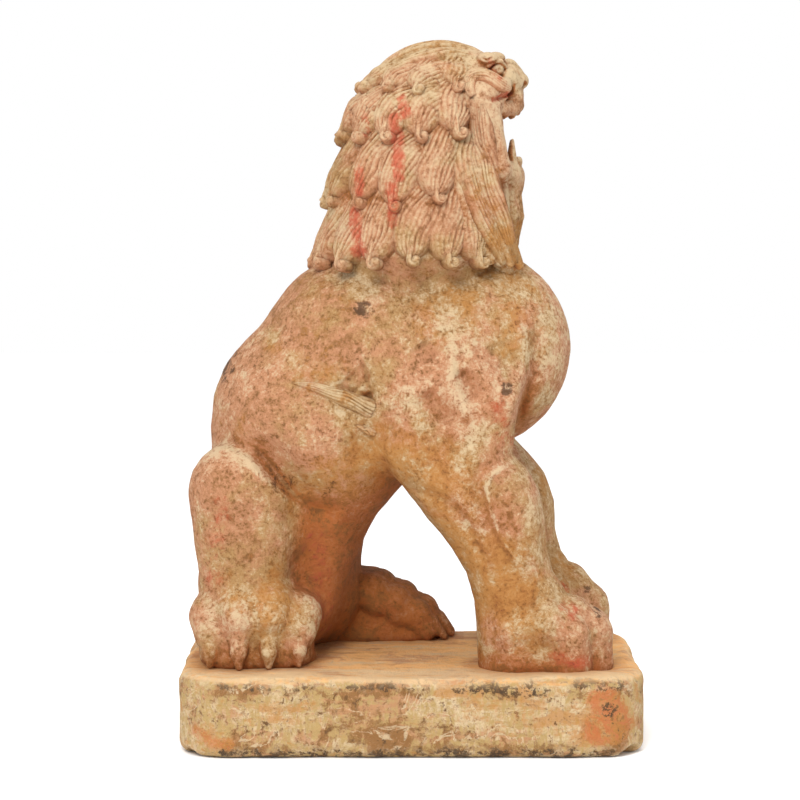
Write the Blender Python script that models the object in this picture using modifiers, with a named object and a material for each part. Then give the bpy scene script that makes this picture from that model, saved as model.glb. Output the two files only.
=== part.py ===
"""Seated roaring lion carved in marble, on a plinth with rounded corners.

The carving is one block in reality. Here it is divided along its carved lines
into closed solids that lie a fine seam apart. The lion faces +X, its right side
is toward -Y, and the middle of the plinth's underside is the origin.
"""

import math

import bmesh
import bpy
from mathutils import Matrix, Vector

# Plinth
PLINTH_LENGTH = 0.470
PLINTH_DEPTH = 0.295
PLINTH_HEIGHT = 0.081
PLINTH_CORNER = 0.050
PLINTH_EDGE = 0.007

# Seam between neighbouring regions of the carving
SEAM = 0.0003

# The figure stands this far behind the middle of the plinth
SETBACK = 0.008

# Torso
CHEST_RADIUS = 0.107
CHEST_WIDTH = 0.084
LOIN_RADIUS = 0.110
RUMP_RADIUS = 0.078

# Legs and paws
FORELEG_SPREAD = 0.080
FORELEG_RADIUS = 0.040
LEFT_FORELEG_REACH = 0.018
LEFT_FORE_PAW_RISE = 0.010
KNEE_RADIUS = 0.050
HAUNCH_RADIUS = 0.046
FORE_TOE_RADIUS = 0.0215
HIND_TOE_RADIUS = 0.018
CLAW_RADIUS = 0.0130

# Tail
TAIL_RADIUS = 0.014

# Mane
LOCK_RADIUS = 0.0205
LOCK_RELIEF = 0.012
CURL_RADIUS = 0.0085
LOCK_LIFT = 0.006
CROWN_LOCK_RADIUS = 0.012
NECK_TUCK = 0.9

# Face
EYE_RADIUS = 0.0105
BROW_RADIUS = 0.0066
FANG_RADIUS = 0.0055
UPPER_LIP = 0.561
JAW_TOP = 0.513
FACE_BACK = 0.060
FACE_WIDTH = 0.054
CHEEK_LOCK_RADIUS = 0.010
TUFT_RADIUS = 0.009

GROUND = PLINTH_HEIGHT + SEAM

# Half-size of the blocks that regions are cut with
REACH = 1.0

# Faces that meet at less than this angle are joined after a cut
FLAT = 0.0005

# Outline of the mane: height above the plinth, middle, half-length, half-width
MANE_OUTLINE = (
    (0.380, -0.001, 0.107, 0.106),
    (0.408, 0.000, 0.106, 0.105),
    (0.460, 0.004, 0.096, 0.098),
    (0.500, 0.008, 0.094, 0.094),
    (0.540, 0.011, 0.083, 0.086),
    (0.570, 0.014, 0.075, 0.076),
    (0.603, 0.028, 0.064, 0.060),
    (0.624, 0.033, 0.040, 0.040),
)

# Tiers of the mane from the top: root height, tip height, backward lean, angles of
# the locks on one side, counted from the face (0 degrees) to the nape (180 degrees)
MANE_TIERS = (
    (0.622, 0.583, 1.20, (60, 94, 126, 158)),
    (0.602, 0.535, 1.10, (52, 80, 108, 136, 163)),
    (0.556, 0.470, 0.75, (50, 73, 99, 127, 155)),
    (0.496, 0.406, 0.50, (46, 67, 88, 110, 132, 155)),
)

# Grooves and hollows on both flanks: points of x and z, radius of the tool, depth
FLANK_HOLLOWS = (
    (((-0.050, 0.318), (-0.044, 0.294), (-0.038, 0.268)), 0.010, 0.0065),
    (((0.014, 0.280), (0.036, 0.256)), 0.030, 0.0055),
    (((0.062, 0.296), (0.074, 0.272)), 0.030, 0.0050),
    (((0.116, 0.340), (0.116, 0.300), (0.106, 0.236)), 0.014, 0.0045),
)

# The same on the right flank alone: over the knee, beside the shank, round the forearm
RIGHT_HOLLOWS = (
    (((-0.172, 0.250), (-0.154, 0.218), (-0.137, 0.189), (-0.113, 0.163), (-0.092, 0.151)), 0.012, 0.0070),
    (((-0.092, 0.130), (-0.092, 0.085)), 0.024, 0.0100),
    (((0.101, 0.210), (0.080, 0.200), (0.074, 0.178), (0.090, 0.137), (0.112, 0.100)), 0.006, 0.0036),
)


def clear_scene():
    """Remove every object that the scene starts with."""
    for obj in list(bpy.data.objects):
        bpy.data.objects.remove(obj, do_unlink=True)


def new_collection(name):
    """Make a collection under the scene's own."""
    collection = bpy.data.collections.new(name)
    bpy.context.scene.collection.children.link(collection)
    return collection


def stone(name, color, roughness):
    """Make a stone material."""
    material = bpy.data.materials.new(name)
    material.use_nodes = True
    shader = material.node_tree.nodes["Principled BSDF"]
    shader.inputs["Base Color"].default_value = (*color, 1.0)
    shader.inputs["Roughness"].default_value = roughness
    shader.inputs["Metallic"].default_value = 0.0
    return material


def at(x, y, z):
    """Place a point of the figure: forward, to its left, above the plinth."""
    return Vector((x, y + SETBACK, z + GROUND))


def ball(x, y, z, radii):
    """Describe a ball of the figure, with one radius or three."""
    if isinstance(radii, float):
        radii = (radii, radii, radii)
    return at(x, y, z), Vector(radii)


def add_hull(bm, balls):
    """Add the convex body that spans some balls."""
    body = bmesh.new()
    for center, radii in balls:
        place = Matrix.Translation(center) @ Matrix.Diagonal((*radii, 1.0))
        detail = 3 if max(radii) > 0.030 else 2
        bmesh.ops.create_icosphere(body, subdivisions=detail, radius=1.0, matrix=place)
    bmesh.ops.delete(body, geom=body.edges[:], context="EDGES_FACES")
    bmesh.ops.convex_hull(body, input=body.verts[:])
    inside = [v for v in body.verts if not v.link_faces]
    bmesh.ops.delete(body, geom=inside, context="VERTS")
    mesh = bpy.data.meshes.new("hull")
    body.to_mesh(mesh)
    body.free()
    bm.from_mesh(mesh)
    bpy.data.meshes.remove(mesh)


def add_chain(bm, balls):
    """Add bodies that span each ball and the next."""
    for pair in zip(balls, balls[1:]):
        add_hull(bm, pair)


def to_object(bm, name, collection):
    """Turn a bmesh into a named object."""
    bmesh.ops.recalc_face_normals(bm, faces=bm.faces[:])
    mesh = bpy.data.meshes.new(name)
    bm.to_mesh(mesh)
    bm.free()
    obj = bpy.data.objects.new(name, mesh)
    collection.objects.link(obj)
    return obj


def bake(obj):
    """Replace an object's mesh with the result of its modifiers."""
    depsgraph = bpy.context.evaluated_depsgraph_get()
    mesh = bpy.data.meshes.new_from_object(obj.evaluated_get(depsgraph))
    obj.modifiers.clear()
    obj.data = mesh
    mesh.name = obj.name
    return obj


def model_clay(obj, voxel, smoothing, triangles):
    """Fuse the bodies of an object into one carved surface."""
    remesh = obj.modifiers.new("fuse", "REMESH")
    remesh.mode = "VOXEL"
    remesh.voxel_size = voxel
    smooth = obj.modifiers.new("soften", "SMOOTH")
    smooth.factor = 0.5
    smooth.iterations = smoothing
    bake(obj)
    obj.modifiers.new("facets", "TRIANGULATE")
    bake(obj)
    thin = obj.modifiers.new("thin", "DECIMATE")
    thin.ratio = min(1.0, triangles / len(obj.data.polygons))
    return bake(obj)


def keep_body(obj):
    """Keep the largest body of a mesh and sweep away crumbs of a cut."""
    bm = bmesh.new()
    bm.from_mesh(obj.data)
    bmesh.ops.remove_doubles(bm, verts=bm.verts[:], dist=0.00002)
    bmesh.ops.dissolve_degenerate(bm, edges=bm.edges[:], dist=0.00002)
    bm.verts.index_update()
    left = set(bm.verts)
    bodies = []
    while left:
        body = set()
        front = [left.pop()]
        while front:
            vert = front.pop()
            body.add(vert)
            for edge in vert.link_edges:
                other = edge.other_vert(vert)
                if other in left:
                    left.discard(other)
                    front.append(other)
        bodies.append(body)
    bodies.sort(key=len)
    for body in bodies[:-1]:
        bmesh.ops.delete(bm, geom=list(body), context="VERTS")
    bmesh.ops.dissolve_limit(bm, angle_limit=FLAT, verts=bm.verts[:], edges=bm.edges[:])
    bmesh.ops.triangulate(bm, faces=bm.faces[:])
    bm.to_mesh(obj.data)
    bm.free()
    return obj


def boolean(obj, tool, operation):
    """Apply one exact Boolean to an object."""
    modifier = obj.modifiers.new("cut", "BOOLEAN")
    modifier.operation = operation
    modifier.solver = "EXACT"
    modifier.use_self = True
    modifier.object = tool
    bake(obj)
    return keep_body(obj)


def region(planes, grow, collection):
    """Make a block bounded by planes, each a point and an outward normal."""
    bm = bmesh.new()
    bmesh.ops.create_cube(bm, size=2.0 * REACH)
    for point, normal in planes:
        away = Vector(normal).normalized()
        edge = bmesh.ops.bisect_plane(
            bm,
            geom=bm.verts[:] + bm.edges[:] + bm.faces[:],
            plane_co=Vector(point) + grow * away,
            plane_no=away,
            clear_outer=True,
        )
        rim = [e for e in edge["geom_cut"] if isinstance(e, bmesh.types.BMEdge)]
        bmesh.ops.contextual_create(bm, geom=rim)
    block = to_object(bm, "region", collection)
    block.hide_render = True
    block.display_type = "WIRE"
    return block


def part_off(obj, name, planes, parts, cutters):
    """Part a region off an object, a seam away from what is left."""
    piece = obj.copy()
    piece.data = obj.data.copy()
    piece.name = name
    parts.objects.link(piece)
    boolean(piece, region(planes, -SEAM / 2, cutters), "INTERSECT")
    boolean(obj, region(planes, SEAM / 2, cutters), "DIFFERENCE")
    return piece


def grown(obj, collection):
    """Copy an object with its surface moved out by the seam."""
    copy = obj.copy()
    copy.data = obj.data.copy()
    copy.name = obj.name + "_clearance"
    collection.objects.link(copy)
    swell = copy.modifiers.new("swell", "DISPLACE")
    swell.strength = SEAM * 1.3
    swell.mid_level = 0.0
    bake(copy)
    copy.hide_render = True
    copy.display_type = "WIRE"
    return copy


def seat(obj, carriers, collection):
    """Cut an object so that it sits a seam off its carriers."""
    for carrier in carriers:
        boolean(obj, grown(carrier, collection), "DIFFERENCE")
        boolean(obj, carrier, "DIFFERENCE")
    return obj


def make_plinth(collection):
    """Block with rounded plan corners and eased edges."""
    bm = bmesh.new()
    size = Matrix.Diagonal((PLINTH_LENGTH, PLINTH_DEPTH, PLINTH_HEIGHT, 1.0))
    lift = Matrix.Translation((0.0, 0.0, PLINTH_HEIGHT / 2))
    bmesh.ops.create_cube(bm, size=1.0, matrix=lift @ size)
    upright = [e for e in bm.edges if abs(e.verts[0].co.z - e.verts[1].co.z) > SEAM]
    bmesh.ops.bevel(
        bm,
        geom=upright,
        offset=PLINTH_CORNER,
        offset_type="OFFSET",
        segments=6,
        profile=0.5,
        affect="EDGES",
    )
    level = [f for f in bm.faces if abs(f.normal.z) > 0.9]
    rims = list({e for f in level for e in f.edges})
    bmesh.ops.bevel(
        bm,
        geom=rims,
        offset=PLINTH_EDGE,
        offset_type="OFFSET",
        segments=2,
        profile=0.5,
        affect="EDGES",
    )
    return keep_body(to_object(bm, "plinth", collection))


def add_torso(bm):
    """Chest, shoulders, belly, back and rump."""
    chest = ball(0.061, 0.0, 0.318, (CHEST_RADIUS, CHEST_WIDTH, CHEST_RADIUS))
    withers = ball(-0.038, 0.0, 0.305, (0.117, 0.100, 0.116))
    loin = ball(-0.098, 0.0, 0.242, LOIN_RADIUS)
    pelvis = ball(-0.132, 0.022, 0.150, (0.086, 0.086, 0.095))
    rump = ball(-0.146, 0.014, RUMP_RADIUS - 0.008, RUMP_RADIUS)
    add_chain(bm, (chest, withers, loin, pelvis, rump))
    add_hull(bm, (rump, ball(-0.120, 0.060, 0.060, 0.066)))


def foreleg_sections(side):
    """Upright sections of a foreleg: back and front ball of each."""
    reach = LEFT_FORELEG_REACH if side > 0 else 0.0
    y = side * FORELEG_SPREAD
    r = FORELEG_RADIUS
    rows = (
        (0.004, 0.034, 0.55 * y, 0.368, r - 0.002),
        (0.000, 0.054, 0.80 * y, 0.322, r + 0.002),
        (0.003, 0.071, 0.93 * y, 0.272, r + 0.003),
        (0.010, 0.067, 0.98 * y, 0.215, r + 0.002),
        (0.038, 0.085, y, 0.179, r + 0.001),
        (0.059, 0.097, y, 0.149, r),
        (0.080, 0.099, y, 0.120, r - 0.002),
        (0.094, 0.105, y, 0.096, r - 0.003),
        (0.102, 0.128, y, 0.066, r - 0.004),
        (0.105, 0.140, y, 0.030, r - 0.004),
    )
    for back, front, across, height, radius in rows:
        lean = reach * max(0.0, min(1.0, (0.300 - height) / 0.150))
        yield ball(back + lean, across, height, radius), ball(front + lean, across, height, radius)


def add_foreleg(bm, side):
    """Foreleg with its broad forearm and a paw of four toes."""
    sections = list(foreleg_sections(side))
    for upper, lower in zip(sections, sections[1:]):
        add_hull(bm, upper + lower)
    reach = LEFT_FORELEG_REACH * 0.5 if side > 0 else 0.0
    rise = LEFT_FORE_PAW_RISE if side > 0 else 0.0
    for place in (-1.5, -0.5, 0.5, 1.5):
        y = side * FORELEG_SPREAD + place * FORE_TOE_RADIUS * 0.93
        tip = reach - 0.024 * (abs(place) - 0.5)
        root = ball(0.124 + tip, y, 0.046 + rise, FORE_TOE_RADIUS)
        knuckle = ball(0.166 + tip, y, 0.050 + rise, FORE_TOE_RADIUS * 1.05)
        end = ball(0.184 + tip, y, 0.036, FORE_TOE_RADIUS * 0.96)
        sole = ball(0.187 + tip, y, 0.010, FORE_TOE_RADIUS * 0.88)
        add_chain(bm, (root, knuckle, end, sole))


def add_claw(bm, knuckle, tip, size):
    """Claw that runs from a toe to a blunt tip."""
    radius = CLAW_RADIUS * size
    add_hull(bm, (ball(*knuckle, radius), ball(*tip, radius * 0.38)))


def add_right_hind_leg(bm):
    """Raised knee, upright shank and a paw that points to the lion's right."""
    knee = ball(-0.180, -0.056, 0.225 - KNEE_RADIUS, KNEE_RADIUS)
    hip = ball(-0.138, -0.020, 0.128, KNEE_RADIUS * 1.15)
    add_chain(bm, (knee, hip))
    shank = (
        (knee, ball(-0.166, -0.052, 0.172, KNEE_RADIUS * 0.9)),
        (ball(-0.180, -0.058, 0.130, 0.044), ball(-0.160, -0.050, 0.130, 0.044)),
        (ball(-0.176, -0.056, 0.088, 0.042), ball(-0.166, -0.050, 0.088, 0.042)),
        (ball(-0.176, -0.047, 0.050, 0.042), ball(-0.146, -0.044, 0.050, 0.042)),
        (ball(-0.180, -0.043, 0.026, 0.037), ball(-0.138, -0.041, 0.026, 0.037)),
    )
    for upper, lower in zip(shank, shank[1:]):
        add_hull(bm, upper + lower)
    for place, inset in ((-1.5, 0.010), (-0.5, 0.0), (0.5, 0.002), (1.5, 0.012)):
        x = -0.160 + place * HIND_TOE_RADIUS * 1.80
        root = ball(x, -0.050 + inset, 0.052, HIND_TOE_RADIUS * 1.28)
        knuckle = ball(x, -0.078 + inset, 0.058, HIND_TOE_RADIUS * 1.14)
        end = ball(x, -0.093 + inset, 0.046, HIND_TOE_RADIUS * 0.94)
        add_chain(bm, (root, knuckle, end))
        add_claw(bm, (x, -0.093 + inset, 0.032), (x, -0.106 + inset, 0.002), 1.0)


def add_left_hind_leg(bm):
    """Folded haunch on the lion's left, with a paw that points forward."""
    hip = ball(-0.122, 0.050, 0.146, HAUNCH_RADIUS * 1.45)
    knee = ball(-0.100, 0.086, 0.120, HAUNCH_RADIUS * 1.04)
    heel = ball(-0.100, 0.090, 0.034, HAUNCH_RADIUS)
    add_chain(bm, (hip, knee, heel))
    middle = 0.092
    add_hull(bm, (ball(-0.080, middle, 0.040, 0.036), ball(-0.040, middle, 0.036, 0.030)))
    for place in (-1.5, -0.5, 0.5, 1.5):
        y = middle + place * HIND_TOE_RADIUS * 0.90
        tip = -0.008 * (abs(place) - 0.5)
        root = ball(-0.050 + tip, y, 0.053, HIND_TOE_RADIUS * 1.14)
        step = ball(-0.026 + tip, y, 0.047, HIND_TOE_RADIUS * 1.08)
        knuckle = ball(0.008 + tip, y, 0.033, HIND_TOE_RADIUS)
        end = ball(0.022 + tip, y, 0.014, HIND_TOE_RADIUS * 0.82)
        add_chain(bm, (root, step, knuckle, end))
        add_claw(bm, (0.030 + tip, y, 0.018), (0.044 + tip, y, 0.004), 0.72)


def press(obj, line, radius, depth, side, collection):
    """Press a rounded groove into a flank along points of x and z."""
    bpy.context.view_layer.update()
    balls = []
    for x, z in line:
        place = obj.ray_cast(at(x, side * REACH, z), (0.0, -side, 0.0))[1]
        place.y += side * (radius - depth)
        balls.append((place, Vector((radius, radius, radius))))
    bm = bmesh.new()
    add_chain(bm, balls)
    tool = to_object(bm, "press", collection)
    tool.hide_render = True
    tool.display_type = "WIRE"
    return boolean(obj, tool, "DIFFERENCE")


def make_body(parts, cutters):
    """Carve the body and divide it into torso, legs and paws."""
    bm = bmesh.new()
    add_torso(bm)
    for side in (-1, 1):
        add_foreleg(bm, side)
    add_right_hind_leg(bm)
    add_left_hind_leg(bm)
    torso = to_object(bm, "torso", parts)
    model_clay(torso, 0.0045, 8, 2800)
    for side in (-1, 1):
        for line, radius, depth in FLANK_HOLLOWS:
            press(torso, line, radius, depth, side, cutters)
    for line, radius, depth in RIGHT_HOLLOWS:
        press(torso, line, radius, depth, -1, cutters)
    floor = [(at(0.0, 0.0, 0.0), (0, 0, -1))]
    boolean(torso, region(floor, 0.0, cutters), "INTERSECT")

    pieces = {"torso": torso}
    elbow = at(0.040, 0.0, 0.186)
    ankle = at(0.105, 0.0, 0.064)
    for name, side in (("right", -1), ("left", 1)):
        leg_planes = [
            (elbow, (-0.29, 0, 1)),
            (at(-0.036, 0, 0.100), (-1, 0, 0)),
            (at(0, 0.012 * side, 0), (0, -side, 0)),
            (at(0, 0.160 * side, 0), (0, side, 0)),
        ]
        if side > 0:
            leg_planes[1] = (at(0.050, 0, 0.060), (-1, 0, -0.42))
        leg = part_off(torso, name + "_foreleg", leg_planes, parts, cutters)
        paw_planes = [(ankle, (-0.40, 0, 1))]
        pieces[name + "_foreleg"] = leg
        pieces[name + "_fore_paw"] = part_off(leg, name + "_fore_paw", paw_planes, parts, cutters)

    crease = [(at(-0.128, 0, 0.178), (0.70, 0, 0.71)), (at(0, -0.012, 0), (0, 1, 0))]
    leg = part_off(torso, "right_hind_leg", crease, parts, cutters)
    ankle = [(at(-0.160, -0.070, 0.086), (0, 0.45, 1))]
    pieces["right_hind_leg"] = leg
    pieces["right_hind_paw"] = part_off(leg, "right_hind_paw", ankle, parts, cutters)

    groin = [(at(-0.100, 0, 0.176), (0.30, 0, 1)), (at(0, 0.046, 0), (0, -1, 0))]
    leg = part_off(torso, "left_hind_leg", groin, parts, cutters)
    ankle = [(at(-0.056, 0, 0), (-1, 0, 0))]
    pieces["left_hind_leg"] = leg
    pieces["left_hind_paw"] = part_off(leg, "left_hind_paw", ankle, parts, cutters)
    return pieces


def mane_point(angle, height, inset):
    """Point of the mane's outline at an angle from the face, sunk by an inset."""
    rows = MANE_OUTLINE
    low, high = rows[0], rows[1]
    for low, high in zip(rows, rows[1:]):
        if height <= high[0]:
            break
    share = max(0.0, min(1.2, (height - low[0]) / (high[0] - low[0])))
    middle, length, width = (a + (b - a) * share for a, b in zip(low[1:], high[1:]))
    turn = math.radians(angle)
    x = middle + (length - inset) * math.cos(turn)
    y = (width - inset) * math.sin(turn)
    return x, y, height


def add_lock(bm, angle, root, tip, lean):
    """Hanging lock that leans back as it swells, then hooks forward into a curl."""
    forward = 1.0 if angle > 180.0 else -1.0
    drop = root - tip
    girth = 0.084 if tip > 0.5 else 0.098
    low_end = -0.22 * lean * drop
    stations = []
    for share, swell in ((0.0, 0.66), (0.28, 0.92), (0.56, 1.0), (0.84, 0.74)):
        ahead = 1.3 * lean * drop * ((1.0 - share) ** 2 / 2 - 1 / 6)
        stations.append((ahead, share * drop, LOCK_RADIUS * swell, LOCK_LIFT * (0.9 - 1.4 * share)))
    for ahead, rise in ((0.006, 0.005), (0.015, 0.008), (0.012, 0.018)):
        stations.append((low_end + ahead, drop - rise, CURL_RADIUS, -LOCK_LIFT * 0.5))
    balls = []
    for ahead, fall, size, sink in stations:
        turn = angle + forward * math.degrees(ahead / girth)
        balls.append(ball(*mane_point(turn, root - fall, size + sink), size))
    add_chain(bm, balls)


def add_mane(bm):
    """Neck, skull and tiers of overlapping locks."""
    core = []
    for height, middle, length, width in MANE_OUTLINE:
        tuck = LOCK_RELIEF + NECK_TUCK * max(0.0, 0.415 - height)
        core.append(ball(middle, 0.0, height, (length - tuck, width - tuck, 0.014)))
    add_chain(bm, core)
    for root, tip, lean, angles in MANE_TIERS:
        for angle in angles:
            add_lock(bm, float(angle), root, tip, lean)
            add_lock(bm, 360.0 - angle, root, tip, lean)
        add_lock(bm, 180.0, root, tip, 0.2)
    for side in (-1, 1):
        jowl = (
            ball(0.068, side * 0.058, 0.574, 0.018),
            ball(0.078, side * 0.058, 0.532, 0.018),
            ball(0.088, side * 0.054, 0.498, 0.018),
        )
        add_chain(bm, jowl)
    for place in (-2, -1, 0, 1, 2):
        y = place * 0.017
        sag = 0.004 * place * place
        sweep = (
            ball(0.080, y, 0.606 - sag, CROWN_LOCK_RADIUS),
            ball(0.040, y, 0.619 - sag, CROWN_LOCK_RADIUS),
            ball(-0.002, y * 1.2, 0.609 - sag, CROWN_LOCK_RADIUS),
        )
        add_chain(bm, sweep)


def scallop(tier, collection):
    """Block above a tier's lower edge, whose rim follows the lock tips."""
    tip, angles = MANE_TIERS[tier][1], MANE_TIERS[tier][3]
    count = 2 * len(angles) + 1
    bm = bmesh.new()
    place = Matrix.Translation(at(0.008, 0.0, tip + REACH / 2))
    bmesh.ops.create_cone(
        bm,
        cap_ends=True,
        cap_tris=True,
        segments=4 * count,
        radius1=0.200,
        radius2=0.200,
        depth=REACH,
        matrix=place,
    )
    center = at(0.008, 0.0, 0.0)
    for vert in bm.verts:
        arm = vert.co - center
        if arm.z < tip + REACH / 2 and math.hypot(arm.x, arm.y) > 0.1:
            turn = math.atan2(arm.y, arm.x)
            vert.co.z += 0.020 * math.cos(count * turn + math.pi) - 0.020
    block = to_object(bm, "scallop", collection)
    block.hide_render = True
    block.display_type = "WIRE"
    return block


def face_pocket(grow, collection):
    """Block in which the face lies, open toward the front."""
    bm = bmesh.new()
    place = Matrix.Translation(at(FACE_BACK - grow + 0.1, 0.0, 0.540))
    turn = Matrix.Rotation(math.pi / 2, 4, "Y")
    size = Matrix.Diagonal((0.098 + grow, FACE_WIDTH + grow, 0.1, 1.0))
    bmesh.ops.create_cone(
        bm,
        cap_ends=True,
        segments=40,
        radius1=1.0,
        radius2=1.0,
        depth=2.0,
        matrix=place @ turn @ size,
    )
    block = to_object(bm, "face_pocket", collection)
    block.hide_render = True
    block.display_type = "WIRE"
    return block


def make_mane(body, parts, cutters):
    """Carve the mane, let in the face and divide the tiers."""
    bm = bmesh.new()
    add_mane(bm)
    mane = to_object(bm, "mane_tier_4", parts)
    model_clay(mane, 0.0030, 1, 3500)
    boolean(mane, face_pocket(SEAM, cutters), "DIFFERENCE")
    seat(mane, [body["torso"]], cutters)
    tiers = {}
    for tier in range(3):
        name = "mane_tier_%d" % (tier + 1)
        block = scallop(tier, cutters)
        piece = mane.copy()
        piece.data = mane.data.copy()
        piece.name = name
        parts.objects.link(piece)
        boolean(piece, block, "INTERSECT")
        block.location.z -= SEAM
        bpy.context.view_layer.update()
        boolean(mane, block, "DIFFERENCE")
        tiers[name] = piece
    tiers["mane_tier_4"] = mane
    return tiers


def make_face(parts, cutters):
    """Brow, nose, cheeks and upper jaw."""
    lip = UPPER_LIP
    bm = bmesh.new()
    add_hull(bm, [ball(0.076, 0.0, lip + 0.028, (0.030, FACE_WIDTH - 0.004, 0.030))])
    for side in (-1, 1):
        pad = ball(0.100, side * 0.0205, lip + 0.019, 0.0190)
        cheek = ball(0.078, side * 0.042, lip + 0.016, 0.016)
        add_chain(bm, (pad, cheek))
        brow = (
            ball(0.094, side * 0.011, lip + 0.047, BROW_RADIUS),
            ball(0.091, side * 0.024, lip + 0.054, BROW_RADIUS),
            ball(0.080, side * 0.043, lip + 0.056, BROW_RADIUS),
            ball(0.070, side * 0.052, lip + 0.050, BROW_RADIUS),
        )
        add_chain(bm, brow)
        nostril = ball(0.111, side * 0.009, lip + 0.033, 0.0105)
        add_hull(bm, (nostril, ball(0.1115, 0.0, lip + 0.034, 0.0110)))
    add_chain(bm, (ball(0.1085, 0.0, lip + 0.041, 0.012), ball(0.088, 0.0, lip + 0.043, 0.0125)))
    face = to_object(bm, "face", parts)
    model_clay(face, 0.0024, 2, 560)
    trim = [(at(0, 0, lip), (0, 0, -1)), (at(FACE_BACK, 0, 0), (-1, 0, 0))]
    boolean(face, region(trim, 0.0, cutters), "INTERSECT")
    return boolean(face, face_pocket(0.0, cutters), "INTERSECT")


def make_jaw(parts, cutters):
    """Lower jaw with a rounded chin."""
    bm = bmesh.new()
    chin = ball(0.102, 0.0, 0.487, (0.0195, 0.027, 0.021))
    for side in (-1, 1):
        corner = ball(0.070, side * 0.036, 0.503, 0.017)
        lip = ball(0.102, side * 0.018, 0.498, 0.0165)
        add_hull(bm, (corner, lip, chin))
    jaw = to_object(bm, "lower_jaw", parts)
    model_clay(jaw, 0.0026, 2, 260)
    trim = [
        (at(0, 0, JAW_TOP), (0, 0, 1)),
        (at(FACE_BACK, 0, 0), (-1, 0, 0)),
        (at(0, 0, 0.480), (0, 0, -1)),
    ]
    boolean(jaw, region(trim, 0.0, cutters), "INTERSECT")
    return boolean(jaw, face_pocket(0.0, cutters), "INTERSECT")


def make_relief(name, chains, carriers, voxel, triangles, parts, cutters):
    """Carve a raised detail and seat it on what carries it."""
    bm = bmesh.new()
    for balls in chains:
        add_chain(bm, balls)
    obj = to_object(bm, name, parts)
    model_clay(obj, voxel, 1, triangles)
    return seat(obj, carriers, cutters)


def make_features(body, mane, parts, cutters):
    """Face, jaw and the details that lie on the carving."""
    face = make_face(parts, cutters)
    jaw = make_jaw(parts, cutters)
    pieces = {"face": face, "lower_jaw": jaw}
    lip = UPPER_LIP
    torso = body["torso"]
    low_mane = [mane["mane_tier_4"], mane["mane_tier_3"]]

    tongue_tip = ball(0.090, 0.0, JAW_TOP + 0.001, (0.014, 0.018, 0.008))
    tongue = [[ball(0.070, 0.0, JAW_TOP - 0.005, 0.012), tongue_tip]]
    pocket_wall = [(at(FACE_BACK, 0, 0), (-1, 0, 0))]
    piece = make_relief("tongue", tongue, [jaw], 0.002, 100, parts, cutters)
    pieces["tongue"] = boolean(piece, region(pocket_wall, 0.0, cutters), "INTERSECT")

    beard = [
        [
            ball(0.098, 0.0, 0.478, (0.020, 0.032, 0.014)),
            ball(0.102, 0.0, 0.440, (0.017, 0.028, 0.014)),
            ball(0.107, 0.0, 0.405, (0.013, 0.020, 0.014)),
        ]
    ]
    carriers = [jaw, torso] + low_mane
    pieces["beard"] = make_relief("beard", beard, carriers, 0.003, 110, parts, cutters)

    for name, side in (("right", -1), ("left", 1)):
        eye = [[ball(0.0855, side * 0.035, lip + 0.0435, EYE_RADIUS)] * 2]
        label = name + "_eye"
        pieces[label] = make_relief(label, eye, [face], 0.0022, 90, parts, cutters)

        y = side * 0.019
        upper = [[ball(0.106, y, lip + 0.005, FANG_RADIUS), ball(0.105, y, lip - 0.009, 0.0022)]]
        label = name + "_upper_fang"
        pieces[label] = make_relief(label, upper, [face], 0.0011, 56, parts, cutters)
        lower = [[ball(0.1045, y, JAW_TOP - 0.005, FANG_RADIUS), ball(0.1045, y, JAW_TOP + 0.018, 0.0024)]]
        label = name + "_lower_fang"
        pieces[label] = make_relief(label, lower, [jaw, pieces["tongue"]], 0.0011, 56, parts, cutters)

        strand = CHEEK_LOCK_RADIUS
        locks = []
        for step in (0.0, 0.012):
            locks.append(
                [
                    ball(0.066 - step, side * 0.074, 0.492, strand),
                    ball(0.088 - step, side * 0.066, 0.450, strand),
                    ball(0.108 - step, side * 0.048, 0.408, strand * 0.75),
                ]
            )
        label = name + "_cheek_locks"
        carriers = [torso, pieces["beard"]] + low_mane
        pieces[label] = make_relief(label, locks, carriers, 0.0026, 150, parts, cutters)

        flame = []
        for rise in (0.0, 0.010, 0.020):
            flame.append(
                [
                    ball(-0.038, side * 0.108, 0.238 + rise, TUFT_RADIUS),
                    ball(-0.072, side * 0.108, 0.256 + 0.7 * rise, TUFT_RADIUS * 0.8),
                    ball(-0.112, side * 0.101, 0.276, TUFT_RADIUS * 0.45),
                ]
            )
        label = name + "_elbow_tuft"
        pieces[label] = make_relief(label, flame, [torso], 0.0022, 200, parts, cutters)
    return pieces


def make_tail(body, parts, cutters):
    """Tail that runs from the rump round the left haunch to a tuft."""
    r = TAIL_RADIUS
    rope = [
        ball(-0.192, 0.030, 0.078, r * 1.2),
        ball(-0.206, 0.062, 0.050, r * 1.1),
        ball(-0.190, 0.098, 0.022, r),
        ball(-0.158, 0.118, 0.016, r * 1.1),
    ]
    strands = [rope]
    for reach, rise in ((0.000, 0.092), (0.024, 0.076), (0.046, 0.050)):
        strands.append(
            [
                ball(-0.158, 0.118, 0.016, r * 1.1),
                ball(-0.146 + reach * 0.6, 0.123, rise * 0.5, r),
                ball(-0.136 + reach, 0.117, rise, r * 0.4),
            ]
        )
    carriers = [body["torso"], body["left_hind_leg"]]
    tail = make_relief("tail", strands, carriers, 0.003, 420, parts, cutters)
    floor = [(at(0.0, 0.0, 0.0), (0, 0, -1))]
    boolean(tail, region(floor, 0.0, cutters), "INTERSECT")
    return {"tail": tail}


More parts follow.
